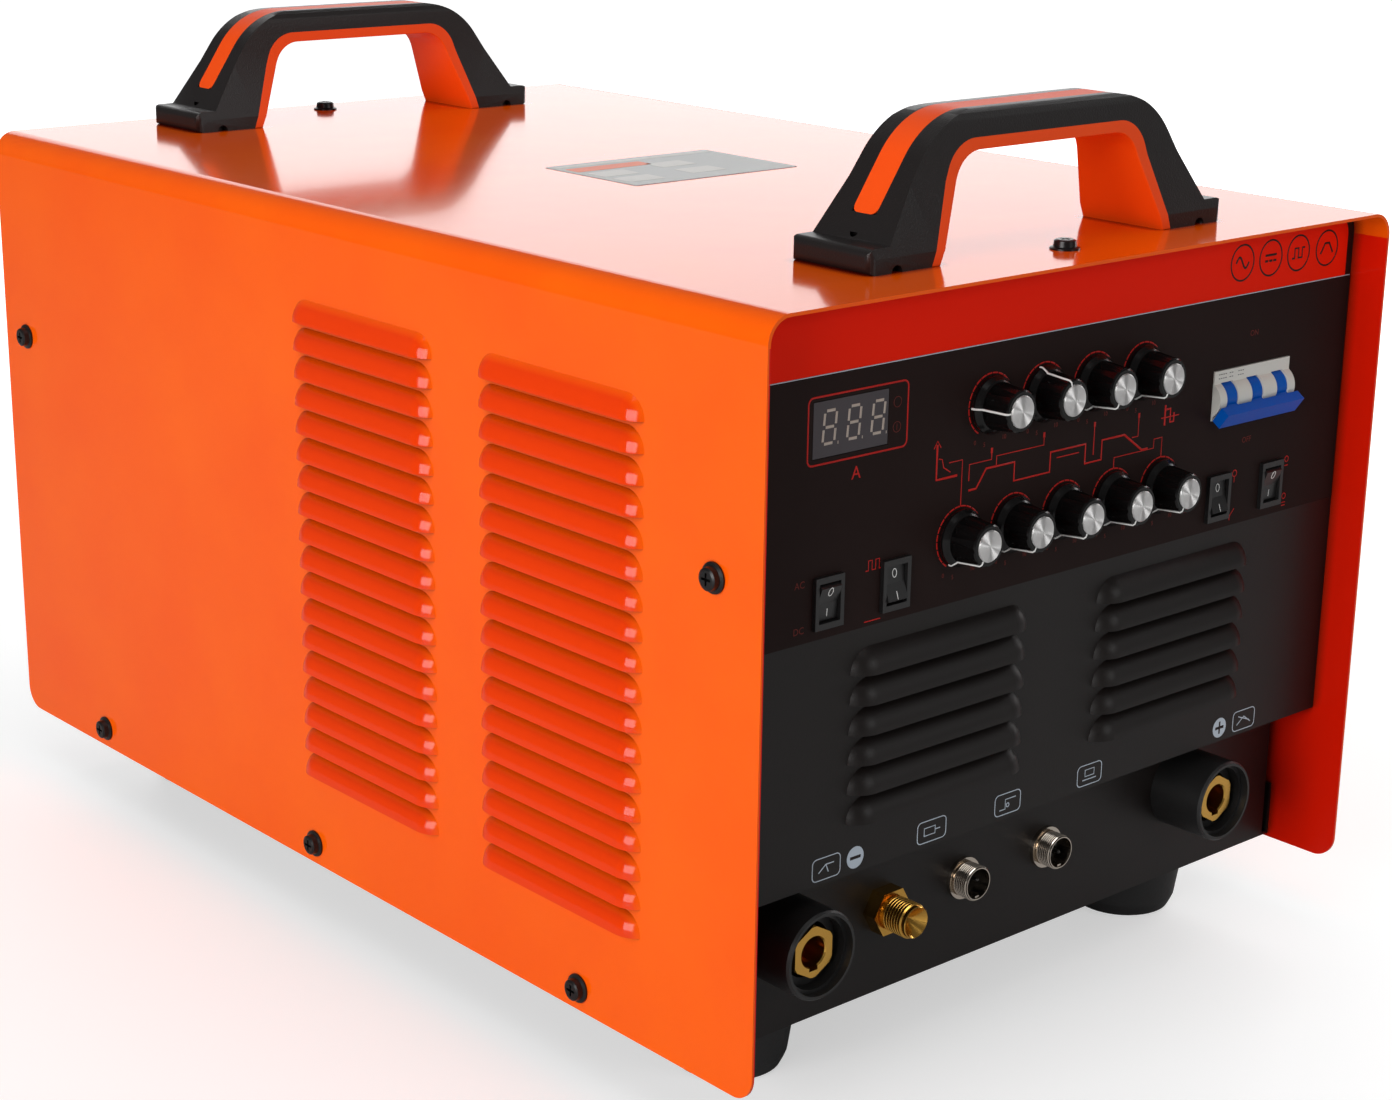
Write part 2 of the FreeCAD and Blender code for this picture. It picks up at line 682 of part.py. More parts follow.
deck_front = panel_back
deck_rear = rear_y


def make_middle_deck():
    body = new_body("middle_deck")
    section = sketch_on(body, "YZ_Plane")
    flange_low = deck_z - s.deck_flange
    outline(section, [
        (deck_front, flange_low), (deck_front, deck_z + s.sheet_wall),
        (deck_rear, deck_z + s.sheet_wall), (deck_rear, flange_low),
        (deck_rear - s.sheet_wall, flange_low), (deck_rear - s.sheet_wall, deck_z),
        (deck_front + s.sheet_wall, deck_z), (deck_front + s.sheet_wall, flange_low),
    ])
    pad(body, section, s.cover_width - 2 * s.deck_side_gap, both_sides=True)
    openings = sketch_on(body, "XY_Plane", deck_z - 1)
    for side in (-1, 1):
        circle(openings, side * 60, -40, 12)
    pocket(body, openings, 2 * s.sheet_wall + 2, backwards=True)
    return keep("middle_deck", body)


make_middle_deck()


# ---- Screws: cross-head flange screws in the cover, M6 screws in handles and feet ----

def flange_screw(name, x, y, z, rotation):
    body = turned(name, [
        (0, -s.screw_length), (s.screw_shank, -s.screw_length), (s.screw_shank, 0),
        (s.screw_flange, 0), (s.screw_flange, s.screw_flange_height * 0.6),
        (s.screw_head + 0.3, s.screw_flange_height), (s.screw_head, s.screw_head_height),
        (s.screw_head - 1, s.screw_head_height + 0.5), (0, s.screw_head_height + 0.5),
    ])
    cross = sketch_on(body, "XY_Plane", s.screw_head_height + 0.5)
    arm, half_slot = s.cross_arm, s.cross_slot / 2
    outline(cross, [
        (arm, -half_slot), (arm, half_slot), (half_slot, half_slot), (half_slot, arm),
        (-half_slot, arm), (-half_slot, half_slot), (-arm, half_slot), (-arm, -half_slot),
        (-half_slot, -half_slot), (-half_slot, -arm), (half_slot, -arm), (half_slot, -half_slot),
    ])
    pocket(body, cross, s.cross_depth)
    put_at(body, x, y, z, rotation)
    return body


def make_cover_screws():
    screws = []
    for side in (-1, 1):
        for y, z in side_screw_spots:
            turn = Rotation(Vector(0, 1, 0), 90 * side)
            screws.append(flange_screw("side_screw", side * half_width, y, z, turn))
    for y in top_screw_spots:
        screws.append(flange_screw("top_screw", 0, y, cover_top, Rotation()))
    return keep("cover_screws", group(*screws))


def m6_screw(x, y, head_z, up):
    """Cap screw whose head seats at head_z and whose shank runs up or down from it."""
    rotation = Rotation() if up else Rotation(Vector(1, 0, 0), 180)
    body = turned("m6_screw", [
        (0, -s.m6_head_height), (s.m6_head, -s.m6_head_height), (s.m6_head, 0), (s.m6_shank, 0),
        (s.m6_shank, s.m6_length), (0, s.m6_length),
    ])
    put_at(body, x, y, head_z, rotation)
    return body


def make_m6_screws():
    screws = [m6_screw(x, y, under_cover, True) for x, y in handle_screw_spots]
    screws += [m6_screw(x, y, s.foot_well_depth, True) for x, y in foot_spots]
    return keep("m6_screws", group(*screws))


make_cover_screws()
make_m6_screws()


# ---- Rubber feet ----

def make_feet():
    feet = []
    for x, y in foot_spots:
        foot = turned("foot", [
            (s.foot_bore, pan_under), (s.foot_top, pan_under), (s.foot_top, pan_under - 3),
            (s.foot_bottom + 1.2, s.foot_round + 3), (s.foot_bottom, s.foot_round),
            (s.foot_bottom - 1.4, 1.2), (s.foot_bottom - s.foot_round, 0), (s.foot_well, 0),
            (s.foot_well, s.foot_well_depth), (s.foot_bore, s.foot_well_depth),
        ])
        put_at(foot, x, y, 0)
        feet.append(foot)
    return keep("rubber_feet", group(*feet))


make_feet()


# ---- Carrying handles: black shell with an orange grip inside and a strip along the top ----

def arc_corner(before, corner, after, radius):
    """Tangent points and middle point of a round corner between two straight runs."""
    to_before = (before - corner).normalize()
    to_after = (after - corner).normalize()
    half_angle = to_before.getAngle(to_after) / 2
    reach = radius / math.tan(half_angle)
    centre = corner + (to_before + to_after).normalize() * (radius / math.sin(half_angle))
    middle = centre + (corner - centre).normalize() * radius
    return corner + to_before * reach, middle, corner + to_after * reach


def arch_edges(half_foot, half_top, low, high, radius):
    """Wire points of a trapezoid arch with round upper corners, from right foot to left."""
    right_foot, right_top = Vector(half_foot, 0, low), Vector(half_top, 0, high)
    left_foot, left_top = Vector(-half_foot, 0, low), Vector(-half_top, 0, high)
    edges = []
    start = right_foot
    for before, corner, after in ((right_foot, right_top, left_top), (right_top, left_top, left_foot)):
        entry, middle, leave = arc_corner(before, corner, after, radius)
        edges.append(Part.LineSegment(start, entry).toShape())
        edges.append(Part.Arc(entry, middle, leave).toShape())
        start = leave
    edges.append(Part.LineSegment(start, left_foot).toShape())
    return edges


def arch_face(half_foot, half_top, low, high, radius, extra=()):
    edges = arch_edges(half_foot, half_top, low, high, radius)
    points = [Vector(-half_foot, 0, low), *extra, Vector(half_foot, 0, low)]
    edges += [Part.LineSegment(a, b).toShape() for a, b in zip(points, points[1:])]
    return Part.Face(Part.Wire(Part.__sortEdges__(edges)))


def handle_shapes():
    """Black shell, grip lining and top strip about the middle of the handle's foot."""
    length, rise = s.handle_length.value, s.handle_rise.value
    depth, bar_depth = s.handle_depth.value, s.handle_bar_depth.value
    ledge, shoe = s.shoe_ledge.value, s.shoe_height.value
    half_outer = length / 2 - ledge
    half_outer_top = s.handle_outer_top.value / 2
    inner_rise = rise - s.handle_bar.value
    lining, strip_wall = s.grip_wall.value, s.strip_wall.value

    def solid(face):
        return face.extrude(Vector(0, depth, 0)).translate(Vector(0, -depth / 2, 0))

    slope = (half_outer - half_outer_top) / (rise - shoe)
    outer = solid(arch_face(half_outer + slope * shoe, half_outer_top, 0, rise,
                            s.handle_outer_round.value))
    inner = solid(arch_face(s.handle_inner.value / 2, s.handle_inner_top.value / 2, 0, inner_rise,
                            s.handle_inner_round.value))
    space = solid(arch_face(s.handle_inner.value / 2 - lining, s.handle_inner_top.value / 2 - lining,
                            0, inner_rise - lining, s.handle_inner_round.value - lining / 2))
    groove = solid(arch_face(half_outer + slope * shoe - strip_wall, half_outer_top - strip_wall / 2, 0,
                             rise - strip_wall, s.handle_outer_round.value - strip_wall))
    toe = Part.makeBox(length, depth, shoe, Vector(-length / 2, -depth / 2, 0))
    toe = toe.makeFillet(s.toe_round.value, [e for e in toe.Edges
                               if abs(abs(e.CenterOfMass.x) - length / 2) < 0.01])
    side = Part.makePolygon([
        Vector(0, -depth / 2, 0), Vector(0, depth / 2, 0), Vector(0, depth / 2, shoe * 0.6),
        Vector(0, bar_depth / 2 + 1.5, rise * 0.55), Vector(0, bar_depth / 2, rise - 4),
        Vector(0, bar_depth / 2 - 1.3, rise - 1.2), Vector(0, bar_depth / 2 - 4, rise),
        Vector(0, 4 - bar_depth / 2, rise), Vector(0, 1.3 - bar_depth / 2, rise - 1.2),
        Vector(0, -bar_depth / 2, rise - 4), Vector(0, -bar_depth / 2 - 1.5, rise * 0.55),
        Vector(0, -depth / 2, shoe * 0.6), Vector(0, -depth / 2, 0),
    ])
    taper = Part.Face(side).extrude(Vector(length, 0, 0)).translate(Vector(-length / 2, 0, 0))
    arch = outer.fuse(toe).cut(inner).common(taper)
    band = Part.makeBox(length, s.strip_width.value, rise, Vector(-length / 2, -s.strip_width.value / 2,
                                                                  s.strip_rise.value))
    strip = outer.cut(groove).common(band)
    shell = arch.cut(strip).removeSplitter()
    notches = [Part.makeCylinder(3, 5, Vector(sign * s.handle_screw_pitch.value / 2, -depth / 2 - 1, 0),
                                 Vector(0, 1, 0)) for sign in (-1, 1)]
    bore_depth = s.m6_length.value - s.sheet_wall.value + 0.4
    bosses = [Part.makeCylinder(s.m6_shank.value, bore_depth,
                                Vector(sign * s.handle_screw_pitch.value / 2, 0, 0))
              for sign in (-1, 1)]
    shell = shell.cut(Part.makeCompound(notches + bosses))
    grip = inner.cut(space).common(taper)
    return shell, grip, strip


def make_handles():
    shell, grip, strip = handle_shapes()
    for end, middle in handle_middles.items():
        soft_parts = Part.makeCompound([grip, strip])
        for label, shape in ((f"handle_{end}", shell), (f"handle_{end}_grip", soft_parts)):
            feature = ready_made(label, shape.copy())
            put_at(feature, 0, middle, cover_top)
            keep(label, feature)


make_handles()


# ---- Knobs with their shafts, their bright caps and the potentiometers behind the panel ----

FLUTES = 10
RIDGE_HEADING = 90 - 180 / FLUTES
KNOB_HEADINGS = {1: 270, 2: 342}
LOW_HEADING = 210


def knob_shape(name):
    bore = s.shaft_radius + s.running_gap
    body = turned(name, [
        (bore, 3.4), (7.2, 3.4), (7.2, s.knob_lift), (s.knob_skirt, s.knob_lift),
        (s.knob_skirt, s.knob_lift + 1.6), (s.knob_skirt - 1.4, s.knob_lift + 3.2),
        (s.knob_body + 0.4, s.knob_lift + 3.8), (s.knob_top, s.knob_height - 0.7),
        (s.knob_top - 0.7, s.knob_height), (s.cap_radius + 0.1, s.knob_height),
        (s.cap_radius + 0.1, s.knob_height - s.cap_wall + 0.2), (bore, s.knob_height - s.cap_wall + 0.2),
    ])
    flute = sketch_on(body, "XY_Plane", s.knob_height + 1)
    circle(flute, s.knob_body + s.flute_set_out, 0, s.flute_radius)
    notch = pocket(body, flute, s.knob_height - s.knob_lift - 3)
    doc.recompute()
    ring = body.newObject("PartDesign::PolarPattern", "flutes")
    ring.Originals = [notch]
    ring.Axis = (flute, ["N_Axis"])
    ring.Angle = 360
    ring.Occurrences = FLUTES
    body.Tip = ring
    return body


def make_knobs():
    pots = []
    for index, (x, z) in enumerate(knob_spots, start=1):
        heading = KNOB_HEADINGS.get(index, LOW_HEADING)
        turn = AXIS_TURN["front"] * Rotation(Vector(0, 0, 1), RIDGE_HEADING - heading)
        place = dict(x=x, y=face_y, z=z, rotation=turn)
        knob = knob_shape("knob_moulding")
        put_at(knob, **place)
        shaft = rod((x, face_y + s.pot_depth, z), s.shaft_radius, s.pot_depth + s.knob_height - 2.5, "front")
        keep(f"knob_{index}", group(knob, shaft))
        cap = turned("cap", [
            (0, s.knob_height - s.cap_wall + 0.25), (s.cap_radius, s.knob_height - s.cap_wall + 0.25),
            (s.cap_radius, s.knob_height + 0.3), (s.cap_radius - 0.35, s.knob_height + 0.6),
            (0, s.knob_height + 0.6),
        ])
        put_at(cap, **place)
        keep(f"knob_cap_{index}", cap)
        wall = s.sheet_wall + s.overlay_wall
        bushing_bore = s.shaft_radius + s.running_gap
        pot = turned("pot", [
            (0, -wall - s.pot_depth - 1), (s.pot_radius, -wall - s.pot_depth - 1), (s.pot_radius, -wall),
            (bushing_radius, -wall), (bushing_radius, 0), (s.nut_radius, 0), (s.nut_radius, s.nut_height),
            (bushing_radius, s.nut_height), (bushing_radius, s.nut_height + 0.8),
            (bushing_bore, s.nut_height + 0.8),
            (bushing_bore, -wall - s.pot_depth), (0, -wall - s.pot_depth),
        ])
        put_at(pot, **place)
        pots.append(pot)
    keep("potentiometers", group(*pots))


make_knobs()


# ---- Display: window in the panel and its board behind ----

def make_display():
    x, z = s.window_middle, window_z
    half_width_window, half_height = s.window_width / 2, s.window_height / 2
    window = block((x - half_width_window, x + half_width_window), (face_y, face_y + s.window_wall),
                   (z - half_height, z + half_height))
    keep("display_window", window)
    module = block((x - 19, x + 19), (face_y + s.window_wall, face_y + 9), (z - 9.5, z + 9.5))
    board = block((x - 26, x + 26), (face_y + 9, face_y + 9 + s.board_wall), (z - 16, z + 16))
    posts = [rod((x + across * 23, panel_back, z + up * 13), 2.2, face_y + 9 - panel_back, "y")
             for across in (-1, 1) for up in (-1, 1)]
    keep("display_board", fuse(module, board, *posts))


make_display()


# ---- Rocker switches: a fixed body with its bezel, and the rocker on its pin ----

ROCKER_REST = {"polarity": 1, "pulse": -1, "process": -1, "trigger_mode": 1}


def make_rockers():
    bodies = []
    half_slot_width = s.rocker_slot_width / 2
    half_slot_height = s.rocker_slot_height / 2
    rocker_radius = half_slot_height - s.rocker_gap
    half_case = s.switch_width / 2
    for name, x in rocker_columns.items():
        bezel = block((x - s.bezel_width / 2, x + s.bezel_width / 2),
                      (face_y - s.bezel_proud, face_y),
                      (rocker_z - s.bezel_height / 2, rocker_z + s.bezel_height / 2))
        case = block((x - half_case, x + half_case), (face_y, face_y + s.switch_depth),
                     (rocker_z - s.switch_height / 2, rocker_z + s.switch_height / 2))
        well = block((x - half_slot_width, x + half_slot_width),
                     (face_y - s.bezel_proud - 1, face_y + s.rocker_pivot + rocker_radius + 0.6),
                     (rocker_z - half_slot_height, rocker_z + half_slot_height))
        pin_hole = rod((x - half_case + 0.3, face_y + s.rocker_pivot, rocker_z), s.rocker_pin + s.running_gap,
                       s.switch_width - 0.6, "x")
        terminals = [block((x - 2.4, x + 2.4), (face_y + s.switch_depth, face_y + s.switch_depth + 7),
                           (rocker_z + rise - 0.4, rocker_z + rise + 0.4)) for rise in (-6, 0, 6)]
        bodies.append(fuse(cut(fuse(bezel, case), well, pin_hole), *terminals))

        rocker_half = half_slot_width - 0.3
        barrel = rod((-rocker_half, 0, 0), rocker_radius, 2 * rocker_half, "x")
        face = new_body("rocker_face")
        profile = sketch_on(face, "YZ_Plane")
        outline(profile, [
            (4.2, -8), (4.2, 8), (-s.rocker_pivot - 1.7, 8), (-s.rocker_pivot - 0.6, 0),
            (-s.rocker_pivot - 1.7, -8),
        ])
        pad(face, profile, 3 * rocker_half, both_sides=True)
        pin = rod((0.6 - half_case, 0, 0), s.rocker_pin, s.switch_width - 1.2, "x")
        rocker = fuse(common(barrel, face), pin)
        tilt = Rotation(Vector(1, 0, 0), ROCKER_REST[name] * s.rocker_tilt.value)
        put_at(rocker, x, face_y + s.rocker_pivot, rocker_z, tilt)
        keep(f"rocker_{name}", rocker)
    keep("rocker_switches", group(*bodies))


make_rockers()


# ---- Three-pole breaker: case with its cheeks, and the ganged lever ----

def make_breaker():
    x, z = s.breaker_middle, breaker_z
    axis_y = face_y + s.toggle_set_back
    ends = (x - breaker_half, x + breaker_half)
    nose = block(ends, (face_y - s.nose_proud, panel_back), (z - s.nose_below, z + s.nose_above))
    case = block(ends, (panel_back, panel_back + s.breaker_depth),
                 (z - s.breaker_height / 2, z + s.breaker_height / 2))
    cheeks = rod((ends[0], axis_y, z), s.cheek_radius, 2 * breaker_half, "x")
    poles = [x + step * s.pole_pitch for step in (-1, 0, 1)]
    slots = [rod((pole - s.pole_slot / 2, axis_y, z), s.toggle_radius + 0.4, s.pole_slot, "x")
             for pole in poles]
    swings = [block((pole - s.pole_slot / 2, pole + s.pole_slot / 2), (face_y - 8, axis_y),
                    (z - 7.6, z + 7.6)) for pole in poles]
    pin_hole = rod((ends[0] + 1, axis_y, z), 1.5 + s.running_gap, 2 * breaker_half - 2, "x")
    keep("breaker_case", cut(fuse(nose, case, cheeks), *slots, *swings, pin_hole))

    drum_half = s.pole_slot / 2 - 0.3
    drums = [rod((step * s.pole_pitch - drum_half, 0, 0), s.toggle_radius, 2 * drum_half, "x")
             for step in (-1, 0, 1)]
    arms = [block((step * s.pole_pitch - drum_half, step * s.pole_pitch + drum_half),
                  (-s.bar_outer + 1, 0), (-2.8, 2.8)) for step in (-1, 0, 1)]
    bar = block((-breaker_half - 0.5, breaker_half + 0.5), (-s.bar_outer, -s.bar_inner),
                (-s.bar_height / 2, s.bar_height / 2))
    pin = rod((1.3 - breaker_half, 0, 0), 1.5, 2 * breaker_half - 2.6, "x")
    lever = fuse(*drums, *arms, bar, pin)
    put_at(lever, x, axis_y, z, Rotation(Vector(1, 0, 0), s.toggle_tilt.value))
    keep("breaker_lever", lever)


make_breaker()


# ---- Output sockets: insulating bodies and brass contacts ----

def make_sockets():
    contacts = []
    z = pan_under + s.socket_rise
    contact_front = s.socket_proud - s.contact_set_back
    for name, x in (("negative", s.socket_left), ("positive", s.socket_right)):
        contact_corner = s.contact_flats / math.sqrt(3)
        body = turned("socket_body", [
            (contact_corner + 0.2, -s.socket_barrel), (s.socket_barrel, -s.socket_barrel),
            (s.socket_barrel, 0),
            (s.socket_radius, 0),
            (s.socket_radius, s.socket_proud - 1), (s.socket_radius - 0.8, s.socket_proud),
            (s.socket_radius - s.socket_rim, s.socket_proud),
            (s.socket_radius - s.socket_rim, s.socket_proud - 3.5),
            (s.socket_radius - s.socket_rim - 1.6, s.socket_proud - 3.5),
            (s.socket_radius - s.socket_rim - 1.6, s.socket_proud - 9),
            (contact_corner + 0.2, s.socket_proud - 9),
        ])
        put_at(body, x, strip_y, z, AXIS_TURN["front"])
        keep(f"socket_{name}", body)
        contact = new_body("contact")
        hex_sketch = sketch_on(contact, "XY_Plane", -s.socket_tail)
        outline(hex_sketch, hexagon(s.contact_flats, corner_up=True))
        pad(contact, hex_sketch, contact_front + s.socket_tail)
        bore = sketch_on(contact, "XY_Plane", contact_front)
        circle(bore, 0, 0, s.contact_bore)
        pocket(contact, bore, s.bore_depth)
        key = sketch_on(contact, "XY_Plane", contact_front)
        rectangle(key, -s.key_width / 2, s.key_width / 2, -s.contact_bore - 1.6, -3)
        pocket(contact, key, s.key_depth)
        mouth = sketch_on(contact, "XZ_Plane")
        outline(mouth, [(s.contact_bore - 0.5, contact_front + 1), (s.contact_bore + 1.4, contact_front + 1),
                        (s.contact_bore, contact_front - 0.6), (s.contact_bore - 0.5, contact_front - 0.6)])
        revolve(contact, mouth, groove=True)
        chamfer = sketch_on(contact, "XZ_Plane")
        outline(chamfer, [(contact_corner + 1, contact_front + 1), (contact_corner + 1, contact_front - 1.6),
                          (contact_corner - 1.8, contact_front + 1)])
        revolve(contact, chamfer, groove=True)
        stud = sketch_on(contact, "XY_Plane", -s.socket_tail)
        circle(stud, 0, 0, 5)
        pad(contact, stud, s.socket_tail, backwards=True)
        put_at(contact, x, strip_y, z, AXIS_TURN["front"])
        contacts.append(contact)
    keep("socket_contacts", group(*contacts))


make_sockets()


# ---- Gas outlet and the two control sockets ----

def thread(root_low, root_high, radius, pitch, depth):
    """Saw-tooth points of a ring-grooved thread from low to high."""
    count = int((root_high - root_low) / pitch)
    points = []
    for index in range(count):
        low = root_low + index * pitch
        points += [(radius - depth, low), (radius, low + 0.3 * pitch), (radius, low + 0.7 * pitch)]
    points.append((radius - depth, root_low + count * pitch))
    return points


control_z = pan_under + s.control_rise


def make_gas_outlet():
    bore = s.gas_bore
    top = s.gas_proud
    body = turned("gas_outlet", [
        (bore, -s.gas_tail), (s.gas_barrel, -s.gas_tail), (s.gas_barrel, 0), (9, 0), (9, s.gas_hex),
        (s.gas_thread - 0.9, s.gas_hex),
        *thread(s.gas_hex.value + 1, s.gas_proud.value - 0.9, s.gas_thread, 1.5, 0.8),
        (s.gas_thread - 0.8, top - 0.3), (s.gas_thread - 1.1, top), (bore, top - 6.4),
    ])
    nut = sketch_on(body, "XY_Plane")
    outline(nut, hexagon(s.gas_flats))
    pad(body, nut, s.gas_hex)
    put_at(body, s.gas_middle, strip_y, control_z, AXIS_TURN["front"])
    keep("gas_outlet", body)


def make_control_sockets():
    cores = []
    pins = []
    for name, x, count in (("torch_socket", s.torch_middle, 2), ("pedal_socket", s.pedal_middle, 3)):
        body = turned("control_shell", [
            (s.control_bore, -6), (s.control_barrel, -6), (s.control_barrel, 0), (s.control_flange, 0),
            (s.control_flange, s.control_flange_wall), (s.control_thread - 0.7, s.control_flange_wall),
            *thread(s.control_flange_wall.value + 0.4, s.control_proud.value - 0.6, s.control_thread, 1, 0.5),
            (s.control_thread - 0.6, s.control_proud), (s.control_bore, s.control_proud),
        ])
        key = sketch_on(body, "XY_Plane", 0)
        rectangle(key, -1.1, 1.1, -s.control_bore - 0.3, -s.control_bore + 1.2)
        pad(body, key, s.control_proud - 0.6)
        put_at(body, x, strip_y, control_z, AXIS_TURN["front"])
        keep(name, body)
        core_radius = s.control_bore - s.running_gap
        core = turned("core", [(0, -s.core_tail), (core_radius, -s.core_tail), (core_radius, 0), (0, 0)])
        put_at(core, x, strip_y, control_z, AXIS_TURN["front"])
        ring = s.contact_ring
        for index in range(count):
            turn = math.radians(90 + 360 * index / count) if count == 3 else math.pi * index
            across, up = ring * math.cos(turn), ring * math.sin(turn)
            pin = turned("pin", [(0, 0), (s.contact_radius, 0), (s.contact_radius, 6.4), (0.5, 7), (0, 7)])
            put_at(pin, x + across, strip_y, control_z + up, AXIS_TURN["front"])
            pins.append(pin)
        cores.append(core)
    keep("control_inserts", group(*cores, *pins))


make_gas_outlet()
make_control_sockets()


# ---- Fan: frame, rotor and wire guard on the rear panel ----

def make_fan():
    half = s.fan_size / 2
    shell = block((-half, half), (rear_y - s.fan_depth, rear_y), (fan_z - half, fan_z + half))
    tunnel = rod((0, rear_y - s.fan_depth - 1, fan_z), s.rotor_radius + s.rotor_tip_gap, s.fan_depth + 2, "y")
    motor_mount = rod((0, rear_y - s.fan_depth, fan_z), s.hub_radius + 2, 5, "y")
    spider = [block((-half + 2, half - 2), (rear_y - s.fan_depth, rear_y - s.fan_depth + 4),
                    (fan_z - 3, fan_z + 3)),
              block((-3, 3), (rear_y - s.fan_depth, rear_y - s.fan_depth + 4),
                    (fan_z - half + 2, fan_z + half - 2))]
    shaft = rod((0, rear_y - s.fan_depth + 3, fan_z), s.fan_shaft, 12, "y")
    keep("fan_frame", fuse(cut(shell, tunnel), motor_mount, *spider, shaft))

    hub_start = rear_y - s.fan_depth + 7
    hub = rod((0, hub_start, fan_z), s.hub_radius, s.rotor_depth, "y")
    bore = rod((0, hub_start - 1, fan_z), s.fan_shaft + s.running_gap, 10, "y")
    blade_count = 7
    reach = s.rotor_radius.value - s.hub_radius.value + 2
    chord, wall = s.blade_chord.value, s.blade_wall.value
    blades = []
    for index in range(blade_count):
        blade = Part.makeBox(reach, chord, wall, Vector(s.hub_radius.value - 2, -chord / 2, -wall / 2))
        blade.rotate(Vector(0, 0, 0), Vector(1, 0, 0), 38)
        blade.rotate(Vector(0, 0, 0), Vector(0, 1, 0), 360 / blade_count * index)
        blades.append(blade)
    wheel = Part.makeCylinder(s.rotor_radius.value, s.rotor_depth.value,
                              Vector(0, -s.rotor_depth.value / 2, 0),
                              Vector(0, 1, 0))
    blade_set = ready_made("blades", Part.makeCompound([blade.common(wheel) for blade in blades]))
    put_at(blade_set, 0, hub_start + s.rotor_depth / 2, fan_z)
    keep("fan_rotor", cut(fuse(hub, blade_set), bore))

    guard_y = rear_y + s.sheet_wall
    rings = []
    for ring_radius in (20, 34, 48, 62, 74):
        ring = doc.addObject("Part::Torus", "ring")
        ring.Radius1 = ring_radius
        bind(ring, "Radius2", s.guard_wire)
        put_at(ring, 0, guard_y + 6, fan_z, AXIS_TURN["y"])
        rings.append(ring)
    spokes = [rod((-76, guard_y + 4.2, fan_z), s.guard_wire, 152, "x"),
              rod((0, guard_y + 4.2, fan_z - 76), s.guard_wire, 152, "z")]
    spread = half - s.fan_screw_inset
    tabs = []
    for across in (-1, 1):
        for up in (-1, 1):
            corner_x, corner_z = across * spread, fan_z + up * spread
            tabs.append(rod((corner_x, guard_y, corner_z), 5, 1.6, "y"))
            tabs.append(rod((corner_x, guard_y, corner_z), 2, 5.5, "y"))
    arms = []
    for turn in (45, 135):
        arm = doc.addObject("Part::Cylinder", "rod")
        bind(arm, "Radius", s.guard_wire)
        arm.Height = 2 * spread.value * math.sqrt(2)
        turn_about = Rotation(Vector(0, 1, 0), turn)
        run = turn_about.multVec(Vector(0, 0, 1)) * spread.value * math.sqrt(2)
        put_at(arm, -run.x, guard_y + 4.2, fan_z - run.z, turn_about)
        arms.append(arm)
    keep("fan_guard", fuse(*rings, *spokes, *tabs, *arms))


make_fan()


# ---- Rear fittings: cable gland, gas inlet with its valve, earth stud ----

def make_rear_fittings():
    gland = turned("cable_gland", [
        (s.cable_bore, -12), (s.gland_thread, -12), (s.gland_thread, 0), (16, 0), (16, 6), (13, 6),
        (13, 9), (14.5, 9.6), (14.5, 17), (11, 24), (s.cable_bore, 24),
    ])
    nut = sketch_on(gland, "XY_Plane", -s.sheet_wall)
    outline(nut, hexagon(30))
    circle(nut, 0, 0, 11)
    pad(gland, nut, 5, backwards=True)
    put_at(gland, -s.gland_middle, rear_y + s.sheet_wall, gland_z, AXIS_TURN["y"])
    keep("cable_gland", gland)

    inlet = turned("barbed_inlet", [
        (s.hose_bore, -6), (s.inlet_thread, -6), (s.inlet_thread, 0), (10, 0), (10, 5), (4.5, 5),
        (4.5, 8), (5.5, 9), (4.2, 13), (5.5, 14), (4.2, 18), (5.5, 19), (3.6, 25), (s.hose_bore, 25),
    ])
    put_at(inlet, s.inlet_middle, rear_y + s.sheet_wall, inlet_z, AXIS_TURN["y"])
    valve = block((s.inlet_middle - 13, s.inlet_middle + 13), (rear_y - 36, rear_y),
                  (inlet_z - 11, inlet_z + 11))
    coil = rod((s.inlet_middle, rear_y - 20, inlet_z + 11), 12, 30, "z")
    passage = rod((s.inlet_middle, rear_y - 12, inlet_z), s.inlet_thread + s.running_gap, 13, "y")
    keep("gas_inlet", group(inlet, fuse(cut(valve, passage), coil)))

    earth = turned("earth_stud", [
        (0, -10), (6.5, -10), (6.5, -s.sheet_wall), (s.earth_thread, -s.sheet_wall), (s.earth_thread, 0),
        (7.5, 0), (7.5, 6), (s.earth_thread, 6), (s.earth_thread, 20), (0, 20),
    ])
    put_at(earth, s.inlet_middle, rear_y + s.sheet_wall, earth_z, AXIS_TURN["y"])
    keep("earth_stud", earth)


make_rear_fittings()


# ---- Power section on the pan and electronics on the deck ----

def toroid(x, y, z, middle_radius, tube_radius):
    ring = doc.addObject("Part::Torus", "ring")
    bind(ring, "Radius1", middle_radius)
    bind(ring, "Radius2", tube_radius)
    put_at(ring, x, y, z)
    return ring


